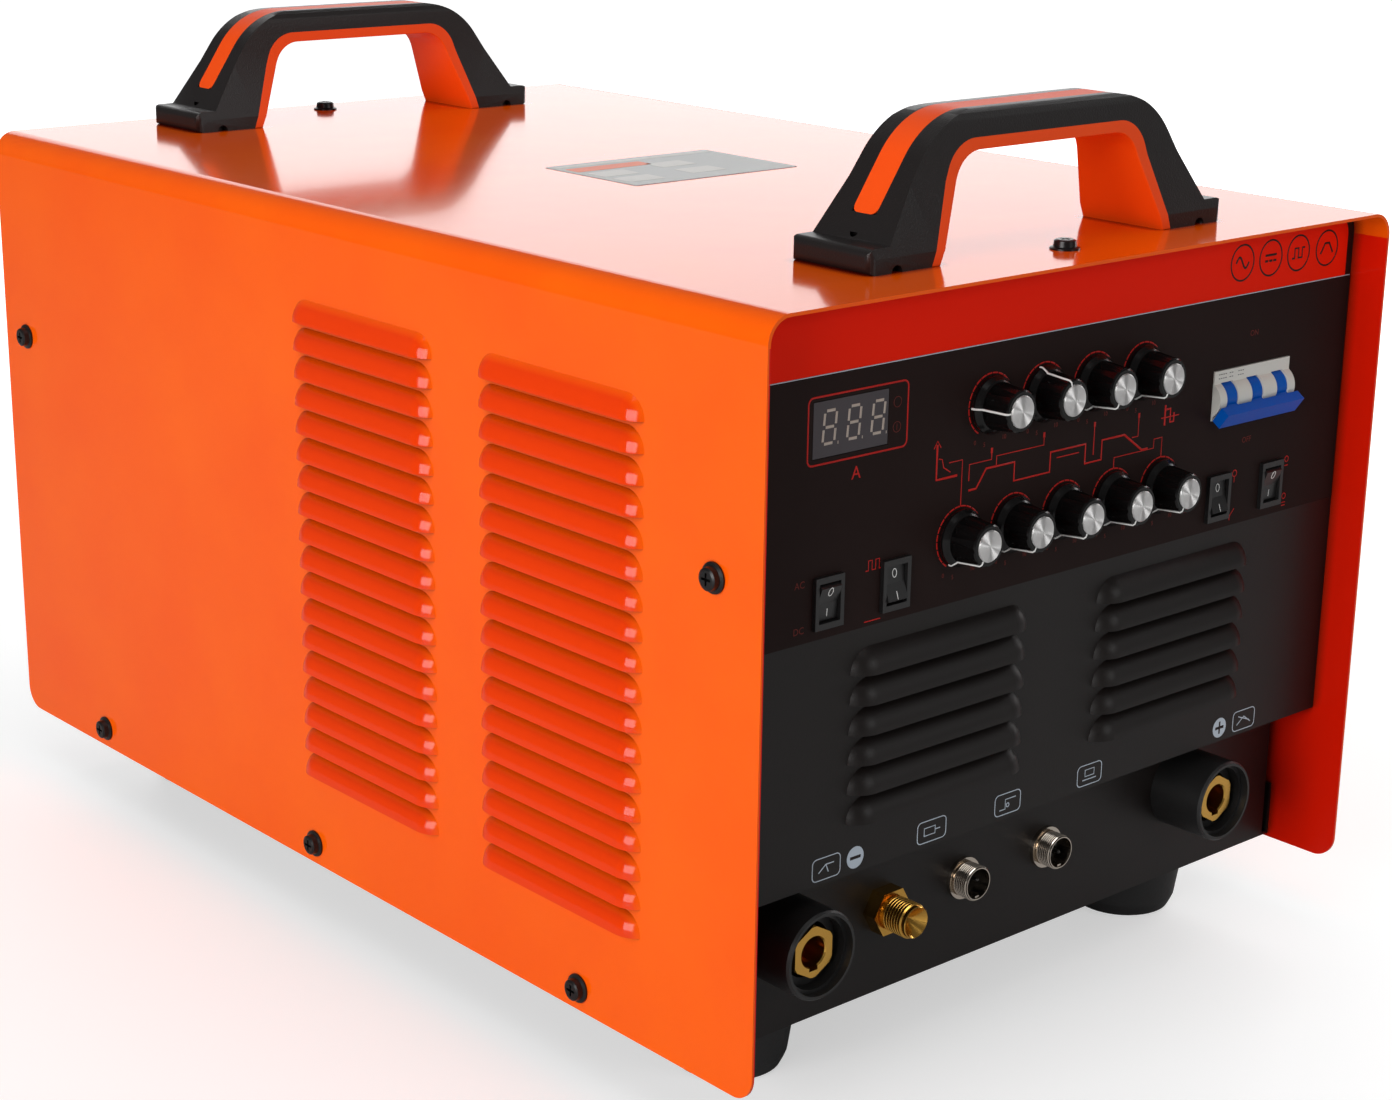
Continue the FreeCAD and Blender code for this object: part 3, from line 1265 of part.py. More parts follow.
def make_power_section():
    board_z = pan_top + s.power_board_rise
    sink_y = (-120, 40)
    fins = [block((step * s.fin_pitch - 120, step * s.fin_pitch + s.fin_wall - 120), sink_y,
                  (board_z - s.fin_height, board_z)) for step in range(12)]
    base = block((-125, 0), sink_y, (pan_top, pan_top + s.sink_base))
    keep("heatsink_stack", fuse(base, *fins))
    parts_z = board_z + s.board_wall
    board = block((-130, 5), (-115, 35), (board_z, parts_z))
    parts_on_board = [rod((-110 + step * 36, -60, parts_z), 15, 45) for step in range(4)]
    switches = [block((-120 + step * 22, -104 + step * 22), (0, 24), (parts_z, board_z + 18))
                for step in range(5)]
    keep("power_board", fuse(board, *parts_on_board, *switches))
    core_x, core_y = 40, -120
    core_far = core_y + s.core_length
    core = block((core_x, core_x + s.core_length), (core_y, core_far), (pan_top, pan_top + s.core_height))
    low, high = pan_top + 20, pan_top + s.core_height - 20
    first, last = core_x + s.core_leg, core_x + s.core_length - s.core_leg
    window = [block((first, first + 22), (core_y - 1, core_far + 1), (low - 0.5, high + 0.5)),
              block((last - 22, last), (core_y - 1, core_far + 1), (low - 0.5, high + 0.5))]
    winding = cut(block((first + 1, last - 1), (core_y - 10, core_far + 10), (low, high)),
                  block((first + 21.5, last - 21.5), (core_y - 0.5, core_far + 0.5), (low - 1, high + 1)))
    keep("main_transformer", fuse(cut(core, *window), winding))
    choke = fuse(toroid(90, 60, pan_top + 20, s.choke_middle, s.choke_tube),
                 block((40, 140), (55, 65), (pan_top, pan_top + 6)))
    keep("output_choke", choke)
    deck_top = deck_z + s.sheet_wall
    coil = fuse(rod((-90, 120, deck_top), s.coil_radius, s.coil_height),
                block((-130, -50), (85, 155), (deck_top, deck_top + 4)))
    keep("hf_coil", coil)
    lift = deck_top + s.board_lift
    plate = block((-20, 150), (-100, 80), (lift, lift + s.board_wall))
    legs = [rod((65 + across * 75, -10 + along * 80, deck_top), 3, s.board_lift)
            for across in (-1, 1) for along in (-1, 1)]
    chips = [block((20 + column * 40, 36 + column * 40), (-70 + line * 45, -50 + line * 45),
                   (lift + s.board_wall, lift + s.board_wall + 4))
             for column in range(3) for line in range(3)]
    keep("control_board", fuse(plate, *legs, *chips))


make_power_section()


# ---- Recompute, check and write every sub-part ----

doc.recompute()
for item in doc.Objects:
    faults = [word for word in item.State if word in ("Invalid", "Error")]
    if faults:
        raise RuntimeError(f"{item.Name} ({item.Label}) is {faults}")
os.makedirs("parts", exist_ok=True)
for piece in pieces:
    shape = piece.Shape
    if shape.isNull() or not shape.isValid() or not shape.Solids:
        raise RuntimeError(f"{piece.Label} has no valid solid")
for piece in pieces:
    piece.Shape.exportStep(f"parts/{piece.Label}.step")
    print(piece.Label, len(piece.Shape.Solids), round(piece.Shape.Volume))
print(len(pieces), "nodes")
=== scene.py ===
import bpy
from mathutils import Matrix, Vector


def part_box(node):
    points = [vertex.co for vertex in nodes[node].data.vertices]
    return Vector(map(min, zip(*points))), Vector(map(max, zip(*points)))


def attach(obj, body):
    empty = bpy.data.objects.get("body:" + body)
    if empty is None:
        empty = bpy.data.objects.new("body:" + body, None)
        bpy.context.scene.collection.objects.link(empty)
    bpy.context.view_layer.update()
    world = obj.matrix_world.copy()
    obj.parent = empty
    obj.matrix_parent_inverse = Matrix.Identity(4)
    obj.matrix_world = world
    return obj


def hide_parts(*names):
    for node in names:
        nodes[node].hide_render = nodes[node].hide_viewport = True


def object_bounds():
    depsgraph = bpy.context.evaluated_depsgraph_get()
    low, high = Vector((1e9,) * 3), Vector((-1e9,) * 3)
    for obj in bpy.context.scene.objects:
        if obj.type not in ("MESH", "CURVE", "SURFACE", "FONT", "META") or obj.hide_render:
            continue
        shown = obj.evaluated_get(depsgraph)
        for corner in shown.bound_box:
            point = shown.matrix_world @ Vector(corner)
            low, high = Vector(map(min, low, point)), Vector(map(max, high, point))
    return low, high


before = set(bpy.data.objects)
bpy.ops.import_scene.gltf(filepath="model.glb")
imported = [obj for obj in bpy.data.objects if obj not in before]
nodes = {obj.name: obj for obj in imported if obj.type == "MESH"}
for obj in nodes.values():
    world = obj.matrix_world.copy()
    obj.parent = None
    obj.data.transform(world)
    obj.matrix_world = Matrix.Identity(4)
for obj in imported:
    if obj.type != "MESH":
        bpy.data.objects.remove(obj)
cad_low, cad_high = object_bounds()
cad_low, cad_high = list(cad_low), list(cad_high)

import bmesh
import bpy
import math
from mathutils import Matrix, Vector

scene = bpy.context.scene


# ---------------------------------------------------------------- room, lamps and camera
# White seamless room for the machine to stand in. The floor keeps the machine's soft
# shadow and turns pure white away from it. Five soft lamps stand above, left, right,
# behind and in front, and the lens looks down on the front left corner.
def shader_node(net, kind, values=None, **options):
    """New shader node with its options and its sockets' own values."""
    node = net.nodes.new(kind)
    for option, value in options.items():
        setattr(node, option, value)
    for socket, value in (values or {}).items():
        node.inputs[socket].default_value = value
    return node


def wire(net, *pairs):
    """Link each output socket to its input socket."""
    for source, target in pairs:
        net.links.new(source, target)


def direct_rays(net):
    """1 for rays from the lens, straight or through clear material, else 0."""
    rays = shader_node(net, "ShaderNodeLightPath")
    direct = shader_node(net, "ShaderNodeMath", operation="MAXIMUM")
    wire(net, (rays.outputs["Is Camera Ray"], direct.inputs[0]),
         (rays.outputs["Is Transmission Ray"], direct.inputs[1]))
    return direct.outputs[0]


FLOOR_GREY = 0.62
FADE = {"From Min": 0.45, "From Max": 1.6, "To Min": 0.52, "To Max": 1.0}
ROOM_LIGHT = 0.13

bpy.ops.object.select_all(action="DESELECT")
bpy.ops.mesh.primitive_plane_add(size=60, location=(0, 0, 0))
floor = bpy.context.object
floor.name = "floor"
floor_paint = bpy.data.materials.new("floor_white")
floor_paint.use_nodes = True
net = floor_paint.node_tree
shader = net.nodes["Principled BSDF"]
shader.inputs["Roughness"].default_value = 0.6
shader.inputs["Base Color"].default_value = (FLOOR_GREY, FLOOR_GREY, FLOOR_GREY, 1)
shader.inputs["Emission Color"].default_value = (1, 1, 1, 1)
place = shader_node(net, "ShaderNodeTexCoord")
away = shader_node(net, "ShaderNodeVectorMath", operation="LENGTH")
fade = shader_node(net, "ShaderNodeMapRange", FADE)
glow = shader_node(net, "ShaderNodeMath", operation="MULTIPLY")
wire(net, (place.outputs["Object"], away.inputs[0]),
     (away.outputs["Value"], fade.inputs["Value"]),
     (fade.outputs["Result"], glow.inputs[0]),
     (direct_rays(net), glow.inputs[1]),
     (glow.outputs[0], shader.inputs["Emission Strength"]))
floor.data.materials.append(floor_paint)

world = bpy.data.worlds.new("white_room")
scene.world = world
world.use_nodes = True
net = world.node_tree
back = net.nodes["Background"]
back.inputs["Color"].default_value = (1, 1, 1, 1)
strength = shader_node(net, "ShaderNodeMapRange", {"To Min": ROOM_LIGHT, "To Max": 1.0})
wire(net, (direct_rays(net), strength.inputs["Value"]),
     (strength.outputs["Result"], back.inputs["Strength"]))


def soft_lamp(name, place, target, width, height, watts):
    """Rectangular lamp that faces a target."""
    lamp = bpy.data.lights.new(name, "AREA")
    lamp.shape = "RECTANGLE"
    lamp.size, lamp.size_y, lamp.energy = width, height, watts
    holder = bpy.data.objects.new(name, lamp)
    scene.collection.objects.link(holder)
    holder.location = place
    facing = Vector(target) - Vector(place)
    holder.rotation_euler = facing.to_track_quat("-Z", "Y").to_euler()


soft_lamp("lamp_above", (-0.3, -0.2, 2.6), (0, 0, 0.2), 2.4, 2.4, 20)
soft_lamp("lamp_left", (-2.6, -0.6, 0.75), (0, 0, 0.2), 1.8, 1.2, 56)
soft_lamp("lamp_behind", (1.7, 2.3, 1.0), (0, 0, 0.34), 3.0, 1.3, 21)
soft_lamp("lamp_right", (2.6, 0.1, 0.9), (0, 0, 0.2), 1.8, 1.2, 34)
soft_lamp("lamp_front", (0.9, -3.2, 1.3), (0, 0, 0.2), 1.6, 1.2, 19)

EYE = Vector((-0.81803, -0.96863, 0.53514))
LOOK_AT = Vector((0.01762, -0.02272, 0.155))
ROLL = 0.014463
forward = (LOOK_AT - EYE).normalized()
level_right = forward.cross(Vector((0, 0, 1))).normalized()
level_up = level_right.cross(forward)
right = level_right * math.cos(ROLL) + level_up * math.sin(ROLL)
up = level_up * math.cos(ROLL) - level_right * math.sin(ROLL)
view = bpy.data.cameras.new("camera")
view.sensor_fit = "HORIZONTAL"
view.sensor_width = 36
view.lens = 67.958
view.clip_start, view.clip_end = 0.05, 100
camera = bpy.data.objects.new("camera", view)
scene.collection.objects.link(camera)
turn = Matrix((right, up, -forward)).transposed()
camera.matrix_world = Matrix.Translation(EYE) @ turn.to_4x4()
scene.camera = camera
scene.view_settings.view_transform = "Standard"


# ---------------------------------------------------------------- folded cover
# One sheet of steel folded over the top and both sides, with pressed louvres, in thick
# glossy orange powder coat; painted shade darkens and reddens it on the louvres, inside and
# under the lips.
def powder_coat(name, thick, thin, roughness, grain, bump, coat=0.0, metallic=0.0,
                speck=0.05, shine=0.5):
    """Finish with cloudy colour between two tones, a fine grain in gloss and surface."""
    paint = bpy.data.materials.new(name)
    paint.use_nodes = True
    net = paint.node_tree
    shader = net.nodes["Principled BSDF"]
    shader.inputs["Metallic"].default_value = metallic
    shader.inputs["Specular IOR Level"].default_value = shine
    shader.inputs["Coat Weight"].default_value = coat
    shader.inputs["Coat Roughness"].default_value = 0.05
    place = shader_node(net, "ShaderNodeTexCoord")
    cloud = shader_node(net, "ShaderNodeTexNoise", {"Scale": 14, "Detail": 4})
    tone = shader_node(net, "ShaderNodeValToRGB")
    for stop, position, colour in zip(tone.color_ramp.elements, (0.3, 0.7), (thin, thick)):
        stop.position = position
        stop.color = (*colour, 1)
    fine = shader_node(net, "ShaderNodeTexNoise", {"Scale": grain, "Detail": 2})
    gloss = shader_node(net, "ShaderNodeMapRange",
                        {"To Min": roughness - speck, "To Max": roughness + speck})
    relief = shader_node(net, "ShaderNodeBump", {"Strength": bump, "Distance": 0.0002})
    wire(net, (place.outputs["Object"], cloud.inputs["Vector"]),
         (place.outputs["Object"], fine.inputs["Vector"]),
         (cloud.outputs["Fac"], tone.inputs["Fac"]),
         (tone.outputs["Color"], shader.inputs["Base Color"]),
         (fine.outputs["Fac"], gloss.inputs["Value"]),
         (gloss.outputs["Result"], shader.inputs["Roughness"]),
         (fine.outputs["Fac"], relief.inputs["Height"]),
         (relief.outputs["Normal"], shader.inputs["Normal"]))
    return paint


def finish(paint, *names):
    """Give CAD nodes a finish in place of their plain one."""
    for name in names:
        for slot in nodes[name].material_slots:
            slot.material = paint


def place_along(net, axis, both_sides=False):
    """Where a point lies along one axis, or how far from the middle to either side."""
    place = shader_node(net, "ShaderNodeTexCoord")
    parts = shader_node(net, "ShaderNodeSeparateXYZ")
    wire(net, (place.outputs["Object"], parts.inputs[0]))
    if not both_sides:
        return parts.outputs[axis]
    size = shader_node(net, "ShaderNodeMath", operation="ABSOLUTE")
    wire(net, (parts.outputs[axis], size.inputs[0]))
    return size.outputs[0]


def beyond(net, value, limit):
    """1 where a value is past a limit, else 0."""
    past = shader_node(net, "ShaderNodeMath", {1: limit}, operation="GREATER_THAN")
    wire(net, (value, past.inputs[0]))
    return past.outputs[0]


def lay_over(net, colour, amount):
    """Lay a colour over a finish's own, by the amount that a socket gives."""
    shader = net.nodes["Principled BSDF"]
    own = shader.inputs["Base Color"].links[0].from_socket
    blend = shader_node(net, "ShaderNodeMix", data_type="RGBA")
    blend.inputs["B"].default_value = (*colour, 1)
    wire(net, (amount, blend.inputs["Factor"]), (own, blend.inputs["A"]),
         (blend.outputs["Result"], shader.inputs["Base Color"]))


SHEET = 0.0014
BEND_RADIUS = 0.011
WALL_HALF = 0.190
SKIN = 0.0008
cover_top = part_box("cover")[1].z
orange = powder_coat("orange_gloss_coat", (0.93, 0.116, 0.001), (0.90, 0.096, 0.001),
                     0.12, 500, 0.08, coat=0.22, shine=0.12)
net = orange.node_tree
across = place_along(net, "X", both_sides=True)

# painted shade on the sheet's inner faces, neither past the side walls' skin nor above the
# bends
outside = shader_node(net, "ShaderNodeMath", operation="MAXIMUM")
inner_painted_shade = shader_node(net, "ShaderNodeMath", {0: 1}, operation="SUBTRACT")
wire(net, (beyond(net, across, WALL_HALF - SKIN), outside.inputs[0]),
     (beyond(net, place_along(net, "Z"), cover_top - SKIN - BEND_RADIUS), outside.inputs[1]),
     (outside.outputs[0], inner_painted_shade.inputs[1]))
lay_over(net, (0.74, 0.010, 0.001), inner_painted_shade.outputs[0])

# painted shade on the pressed louvres, which stand out from the walls: darker and redder
louvre_painted_shade = shader_node(net, "ShaderNodeMapRange",
                      {"From Min": WALL_HALF + 0.0001, "From Max": WALL_HALF + 0.0028})
wire(net, (across, louvre_painted_shade.inputs["Value"]))
lay_over(net, (0.76, 0.042, 0.001), louvre_painted_shade.outputs["Result"])

# and painted shadow, dark where ambient occlusion is strong, close under the lips of the
# louvres
corner = shader_node(net, "ShaderNodeAmbientOcclusion", {"Distance": 0.008}, samples=8)
depth = shader_node(net, "ShaderNodeMapRange",
                    {"From Min": 0.45, "From Max": 0.86, "To Min": 1.0, "To Max": 0.0})
wire(net, (corner.outputs["AO"], depth.inputs["Value"]))
lay_over(net, (0.24, 0.010, 0.001), depth.outputs["Result"])
finish(orange, "cover")


# ---------------------------------------------------------------- panels and base pan
# Folded steel panels and the pan, in satin near-black powder coat with a fine even
# grain; the cover is screwed to their flanges.
black_coat = powder_coat("black_satin_coat", (0.0078, 0.0050, 0.0042),
                         (0.0062, 0.0040, 0.0034), 0.44, 1600, 0.22, shine=0.3)
finish(black_coat, "base_pan", "front_panel", "rear_panel")


# ---------------------------------------------------------------- printed films
# Two polycarbonate films stuck on the panel: black for the controls, red-orange for the
# header, with a fine matt tooth. The print on them is a thin layer of raised ink.
film_low, film_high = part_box("front_films")
film_face = film_low.y
FILM_WALL = 0.0004
panel_face = film_face + FILM_WALL
HEADER_HEIGHT = 0.029
HEADER_BOTTOM = cover_top - SHEET - HEADER_HEIGHT
FILM_GAP = 0.0003
film = powder_coat("matt_film", (0.0185, 0.0100, 0.0090), (0.0165, 0.0088, 0.0080),
                   0.5, 2400, 0.12, shine=0.06)
net = film.node_tree
lay_over(net, (0.84, 0.014, 0.001),
         beyond(net, place_along(net, "Z"), HEADER_BOTTOM - FILM_GAP))
finish(film, "front_films")

red_ink = powder_coat("red_ink", (0.52, 0.008, 0.004), (0.44, 0.006, 0.003),
                      0.5, 1500, 0.05, shine=0.25)
dark_ink = powder_coat("dark_ink", (0.016, 0.008, 0.006), (0.012, 0.006, 0.005),
                       0.5, 1500, 0.05, shine=0.25)
pale_ink = powder_coat("pale_ink", (0.55, 0.62, 0.70), (0.48, 0.55, 0.63), 0.5, 1500, 0.05)
dim_ink = powder_coat("dim_red_ink", (0.13, 0.009, 0.004), (0.10, 0.007, 0.003),
                      0.5, 1500, 0.05, shine=0.25)
INK = 0.00006


def place_mesh(piece, paint, body="chassis"):
    """Fix a piece's place in its mesh, give it its finish and its body."""
    bpy.ops.object.select_all(action="DESELECT")
    piece.select_set(True)
    bpy.context.view_layer.objects.active = piece
    bpy.ops.object.transform_apply(location=True, rotation=True, scale=True)
    piece.data.materials.clear()
    piece.data.materials.append(paint)
    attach(piece, body)
    return piece


def tube_lines(name, runs, radius, roundness):
    """Fine tubes along runs of points; a run that ends where it starts is closed."""
    bpy.ops.object.select_all(action="DESELECT")
    line = bpy.data.curves.new(name, "CURVE")
    line.dimensions = "3D"
    line.bevel_depth = radius
    line.bevel_resolution = roundness
    line.use_fill_caps = True
    for run in runs:
        closed = len(run) > 2 and run[0] == run[-1]
        points = run[:-1] if closed else run
        spline = line.splines.new("POLY")
        spline.points.add(len(points) - 1)
        spline.use_cyclic_u = closed
        for point, spot in zip(spline.points, points):
            point.co = (*spot, 1)
    piece = bpy.data.objects.new(name, line)
    scene.collection.objects.link(piece)
    piece.select_set(True)
    bpy.context.view_layer.objects.active = piece
    bpy.ops.object.convert(target="MESH")
    return bpy.context.object


def ink_lines(name, runs, width, paint, face=None, thick=INK, body="chassis",
              on=None):
    """Print along runs of (x, z) points in mm, on an upright face or laid on a piece."""
    face = film_face if face is None else face
    spots = [[(x / 1000, 0, z / 1000) for x, z in run] for run in runs]
    if on:
        inward = Vector((0, 1, 0))
        spots = [[(x, on.ray_cast(Vector((x, face, z)), inward)[1].y + width / 4000, z)
                  for x, _, z in run] for run in spots]
    piece = tube_lines(name, spots, width / 2000, 1)
    if not on:
        piece.scale = (1, 2 * thick / (width / 1000), 1)
        piece.location = (0, face, 0)
    return place_mesh(piece, paint, body)


def round_box(x, z, width, height, corner, steps=5):
    """Closed run of points round a box with round corners."""
    run = []
    for quarter in range(4):
        cx = x + (width / 2 - corner) * (1 if quarter in (0, 3) else -1)
        cz = z + (height / 2 - corner) * (1 if quarter in (0, 1) else -1)
        for step in range(steps + 1):
            angle = math.radians(90 * quarter + 90 * step / steps)
            run.append((cx + corner * math.cos(angle), cz + corner * math.sin(angle)))
    return run + [run[0]]


def arc_run(x, z, radius, start, end, steps=12):
    """Points along an arc, angles in degrees clockwise from the top."""
    angles = [math.radians(start + (end - start) * step / steps) for step in range(steps + 1)]
    return [(x + radius * math.sin(angle), z + radius * math.cos(angle)) for angle in angles]


# control print: display frame, waveform with its leaders, switch symbols
ink_lines("print_display_frame", [round_box(-125.45, 292.75, 53.5, 26.5, 2.5)], 0.9, red_ink)
ink_lines("print_waveform", [
    [(-62, 255), (-57.5, 255), (-52, 262.5), (-35, 262.5), (-35, 254.5), (-13, 254.5),
     (-13, 263), (9, 263), (9, 254.5), (19.5, 254.5), (19.5, 263), (34, 263), (46, 254.5),
     (50, 254.5)],
    [(-81, 277), (-81, 262.5), (-69, 262.5)], [(60.5, 272), (60.5, 263)],
    [(60.5, 270), (64, 270), (64, 264), (66.5, 264), (66.5, 268)]], 1.15, red_ink)
ink_lines("print_leaders", [
    [(-49, 268.5), (-49, 265.8), (-62, 265.8), (-62, 259)],
    [(-17.5, 270), (-17.5, 266.8), (-46, 266.8), (-46, 263)],
    [(14.2, 269.5), (14.2, 257.5)], [(43, 269), (43, 261), (39, 261)],
    [(-80, 271), (-78, 270.5), (-77, 267), (-73, 264.5)],
    [(-74, 268.5), (-66.2, 268.5), (-66.2, 249.2)], [(-9, 260), (5, 260)],
    [(28, 249.2), (28, 254), (54, 254), (54, 258), (59.4, 258), (59.4, 249.2)],
    [(-83, 275.5), (-81, 278.5), (-79, 275.5)], [(58, 266.5), (70, 266.5)]], 0.55, red_ink)
ink_lines("print_leader_tips", [
    [(x, z), (x, z + 2.2)]
    for x, z in ((-49, 268.5), (-17.5, 270), (14.2, 269.5), (43, 269))], 1.3, red_ink)
ink_lines("print_switch_symbols", [
    [(-119, 232), (-117.5, 232), (-117.5, 236), (-115.5, 236), (-115.5, 232), (-113.5, 232),
     (-113.5, 236), (-111.5, 236), (-111.5, 232), (-110, 232)],
    [(-119, 211), (-110, 211)],
    arc_run(112.5, 233, 1.5, 0, 360), [(112.5, 231.5), (112.5, 228.8)],
    [(111, 213.5), (114, 216.5)], [(111, 213.5), (111, 211.5)],
    arc_run(150.5, 233.5, 1.3, 0, 360), [(149.2, 230.5), (151.8, 230.5)],
    arc_run(150.5, 216, 1.3, 0, 360), [(149.2, 213), (151.8, 213)],
    [(149.2, 211.6), (151.8, 211.6)]], 0.55, red_ink)

# header print: a pale line along its lower edge, four ringed signs for the machine's modes
header_middle = (film_high.z + HEADER_BOTTOM) * 500
edge_level = HEADER_BOTTOM * 1000 - 0.3
ink_lines("print_header_edge", [[(film_low.x * 1000 + 0.4, edge_level),
                                 (film_high.x * 1000 - 0.4, edge_level)]], 0.45, pale_ink)
rings = [(x, header_middle) for x in (107, 127, 147, 168)]
ink_lines("print_header_rings", [arc_run(x, z, 7.9, 0, 360, 40) for x, z in rings],
          0.95, dark_ink)
(a, z), (b, _), (c, _), (d, _) = rings
ink_lines("print_header_signs", [
    [(a - 4.5 + step * 0.75, z + 2.6 * math.sin(step * math.pi / 6)) for step in range(13)],
    [(b - 4, z + 1.3), (b + 4, z + 1.3)], [(b - 4, z - 1.3), (b - 1.8, z - 1.3)],
    [(b - 1.1, z - 1.3), (b + 1.1, z - 1.3)], [(b + 1.8, z - 1.3), (b + 4, z - 1.3)],
    [(c - 4.5, z - 2.2), (c - 2.7, z - 2.2), (c - 2.7, z + 2.2), (c, z + 2.2),
     (c, z - 2.2), (c + 2.7, z - 2.2), (c + 2.7, z + 2.2), (c + 4.5, z + 2.2)],
    [(d - 4.5, z - 2.4), (d - 1.5, z + 2.2), (d + 1.5, z + 2.2), (d + 4.5, z - 2.4)]],
    1.2, dark_ink)

CAPITAL_SHARE = 0.7


def ink_text(name, words, x, z, height, paint):
    """Plain letters and figures of a height in mm, raised by the thickness of the ink."""
    bpy.ops.object.select_all(action="DESELECT")
    bpy.ops.object.text_add(location=(x / 1000, film_face, z / 1000),
                            rotation=(math.pi / 2, 0, 0))
    letters = bpy.context.object
    letters.name = name
    letters.data.body = words
    letters.data.size = height / 1000 / CAPITAL_SHARE
    letters.data.align_x = "CENTER"
    letters.data.align_y = "CENTER"
    letters.data.extrude = INK
    letters.data.resolution_u = 3
    bpy.ops.object.convert(target="MESH")
    return place_mesh(bpy.context.object, paint)


ink_text("print_unit", "A", -126, 273, 5.2, red_ink)
ink_text("print_breaker_on", "ON", 119.3, 296, 2.6, dim_ink)
ink_text("print_breaker_off", "OFF", 119.3, 247.5, 2.6, dim_ink)
ink_text("print_alternating", "AC", -154.5, 233, 2.8, dim_ink)
ink_text("print_direct", "DC", -154.5, 214.5, 2.8, dim_ink)


# ---------------------------------------------------------------- knobs
# Glossy black phenolic knobs with a skirt, a spun aluminium cap and a white line from
# the cap over the edge to the skirt; each is clamped on its potentiometer shaft.
knob_gloss = powder_coat("knob_gloss", (0.0045, 0.004, 0.004), (0.0035, 0.003, 0.003),
                         0.2, 1200, 0.05, shine=0.3)
white_fill = powder_coat("white_fill", (0.80, 0.80, 0.78), (0.72, 0.72, 0.70),
                         0.45, 1500, 0.05)
POINTER = {1: 270, 2: 342}
OTHER_POINTERS = 210
POINTER_PROUD = 0.00022
KNOB_PROFILE = [(6.75, 16.7), (8.15, 16.7), (8.85, 16.0), (9.9, 4.5), (10.65, 3.85),
                (12.0, 2.2), (12.0, 0.9)]
SCALE_START, SCALE_STEP, SCALE_DASH = 212, 14.9, 12.6


def spun_metal(name, centre):
    """Aluminium turned in fine rings round a centre, which catch light in wedges."""
    paint = powder_coat(name, (0.90, 0.89, 0.88), (0.84, 0.83, 0.82), 0.46, 3000, 0.0,
                        metallic=1.0, speck=0.02)
    net = paint.node_tree
    shader = net.nodes["Principled BSDF"]
    shader.inputs["Anisotropic"].default_value = 1.0
    relief = net.nodes["Bump"]
    relief.inputs["Strength"].default_value = 0.05
    place = shader_node(net, "ShaderNodeTexCoord")
    centred = shader_node(net, "ShaderNodeMapping", {"Location": -centre})
    outward = shader_node(net, "ShaderNodeVectorMath", {1: (1, 0, 1)}, operation="MULTIPLY")
    unit = shader_node(net, "ShaderNodeVectorMath", operation="NORMALIZE")
    turned = shader_node(net, "ShaderNodeVectorTransform", vector_type="VECTOR",
                         convert_from="OBJECT", convert_to="WORLD")
    rings = shader_node(net, "ShaderNodeTexWave", {"Scale": 1500, "Distortion": 1.5},
                        wave_type="RINGS", rings_direction="Y")
    wire(net, (place.outputs["Object"], centred.inputs["Vector"]),
         (centred.outputs["Vector"], outward.inputs[0]),
         (outward.outputs[0], unit.inputs[0]),
         (unit.outputs[0], turned.inputs[0]),
         (turned.outputs[0], shader.inputs["Tangent"]),
         (centred.outputs["Vector"], rings.inputs["Vector"]),
         (rings.outputs["Fac"], relief.inputs["Height"]))
    return paint


dashes = []
for number in range(1, 10):
    low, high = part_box(f"knob_cap_{number}")
    centre = (low + high) / 2
    x, z = centre.x * 1000, centre.z * 1000
    finish(knob_gloss, f"knob_{number}")
    finish(spun_metal(f"spun_aluminium_{number}", centre), f"knob_cap_{number}")

    # pointer line, bent over the knob's outline
    heading = math.radians(POINTER.get(number, OTHER_POINTERS))
    line = [(centre.x + math.sin(heading) * radius / 1000,
             film_face - rise / 1000 + POINTER_PROUD,
             centre.z + math.cos(heading) * radius / 1000) for radius, rise in KNOB_PROFILE]
    pointer = tube_lines(f"knob_{number}_pointer", [line], 0.00048, 2)
    place_mesh(pointer, white_fill, f"knob_{number}")

    # scale printed round the knob
    for dash in range(20):
        start = SCALE_START + dash * SCALE_STEP
        dashes.append(arc_run(x, z, 12.9, start, start + SCALE_DASH, 4))
    ink_text(f"scale_{number}_low", "0", x - 8.6, z - 14.8, 1.9, dim_ink)
    ink_text(f"scale_{number}_middle", "5", x - 3.0, z - 16.4, 1.9, dim_ink)
    ink_text(f"scale_{number}_high", "10", x + 8.6, z - 14.8, 1.9, dim_ink)
ink_lines("print_scales", dashes, 0.8, red_ink)


# ---------------------------------------------------------------- display
# Smoke-grey window over a three-figure LED module; unlit segments show pale.
# The circuit boards behind it and in the case are green glass-fibre laminate.
smoke = powder_coat("smoke_window", (0.066, 0.056, 0.062), (0.055, 0.048, 0.054),
                    0.14, 400, 0.02, shine=0.3)
finish(smoke, "display_window")
segment_white = powder_coat("unlit_segment", (0.50, 0.42, 0.36), (0.42, 0.36, 0.31),
                            0.4, 1500, 0.05)
window_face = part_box("display_window")[0].y
FIGURE_LEVELS = (287.2, 293.6, 300.0)
FIGURE_PITCH = 13.0
FIGURE_FOOT = 286.5
SEGMENT_GAP = 0.9
SLANT = 0.09
segments = []
for column in range(3):
    x0, x1 = (edge + column * FIGURE_PITCH for edge in (-144.6, -138.4))
    for level in FIGURE_LEVELS:
        lean = (level - FIGURE_FOOT) * SLANT
        segments.append([(x0 + lean + SEGMENT_GAP, level), (x1 + lean - SEGMENT_GAP, level)])
    for bottom, top in zip(FIGURE_LEVELS, FIGURE_LEVELS[1:]):
        ends = (bottom + SEGMENT_GAP, top - SEGMENT_GAP)
        for x in (x0, x1):
            segments.append([(x + (end - FIGURE_FOOT) * SLANT, end) for end in ends])
    segments.append([(x1 + 1.9, 286.9), (x1 + 2.3, 286.9)])
ink_lines("display_segments", segments, 1.35, segment_white, window_face)
ink_lines("display_lamps", [
    arc_run(-104.5, 298, 2.1, 0, 360, 16), arc_run(-104.5, 288, 2.1, 0, 360, 16),
    [(-104.5, 289.3), (-104.5, 286.7)]], 0.35, dim_ink)
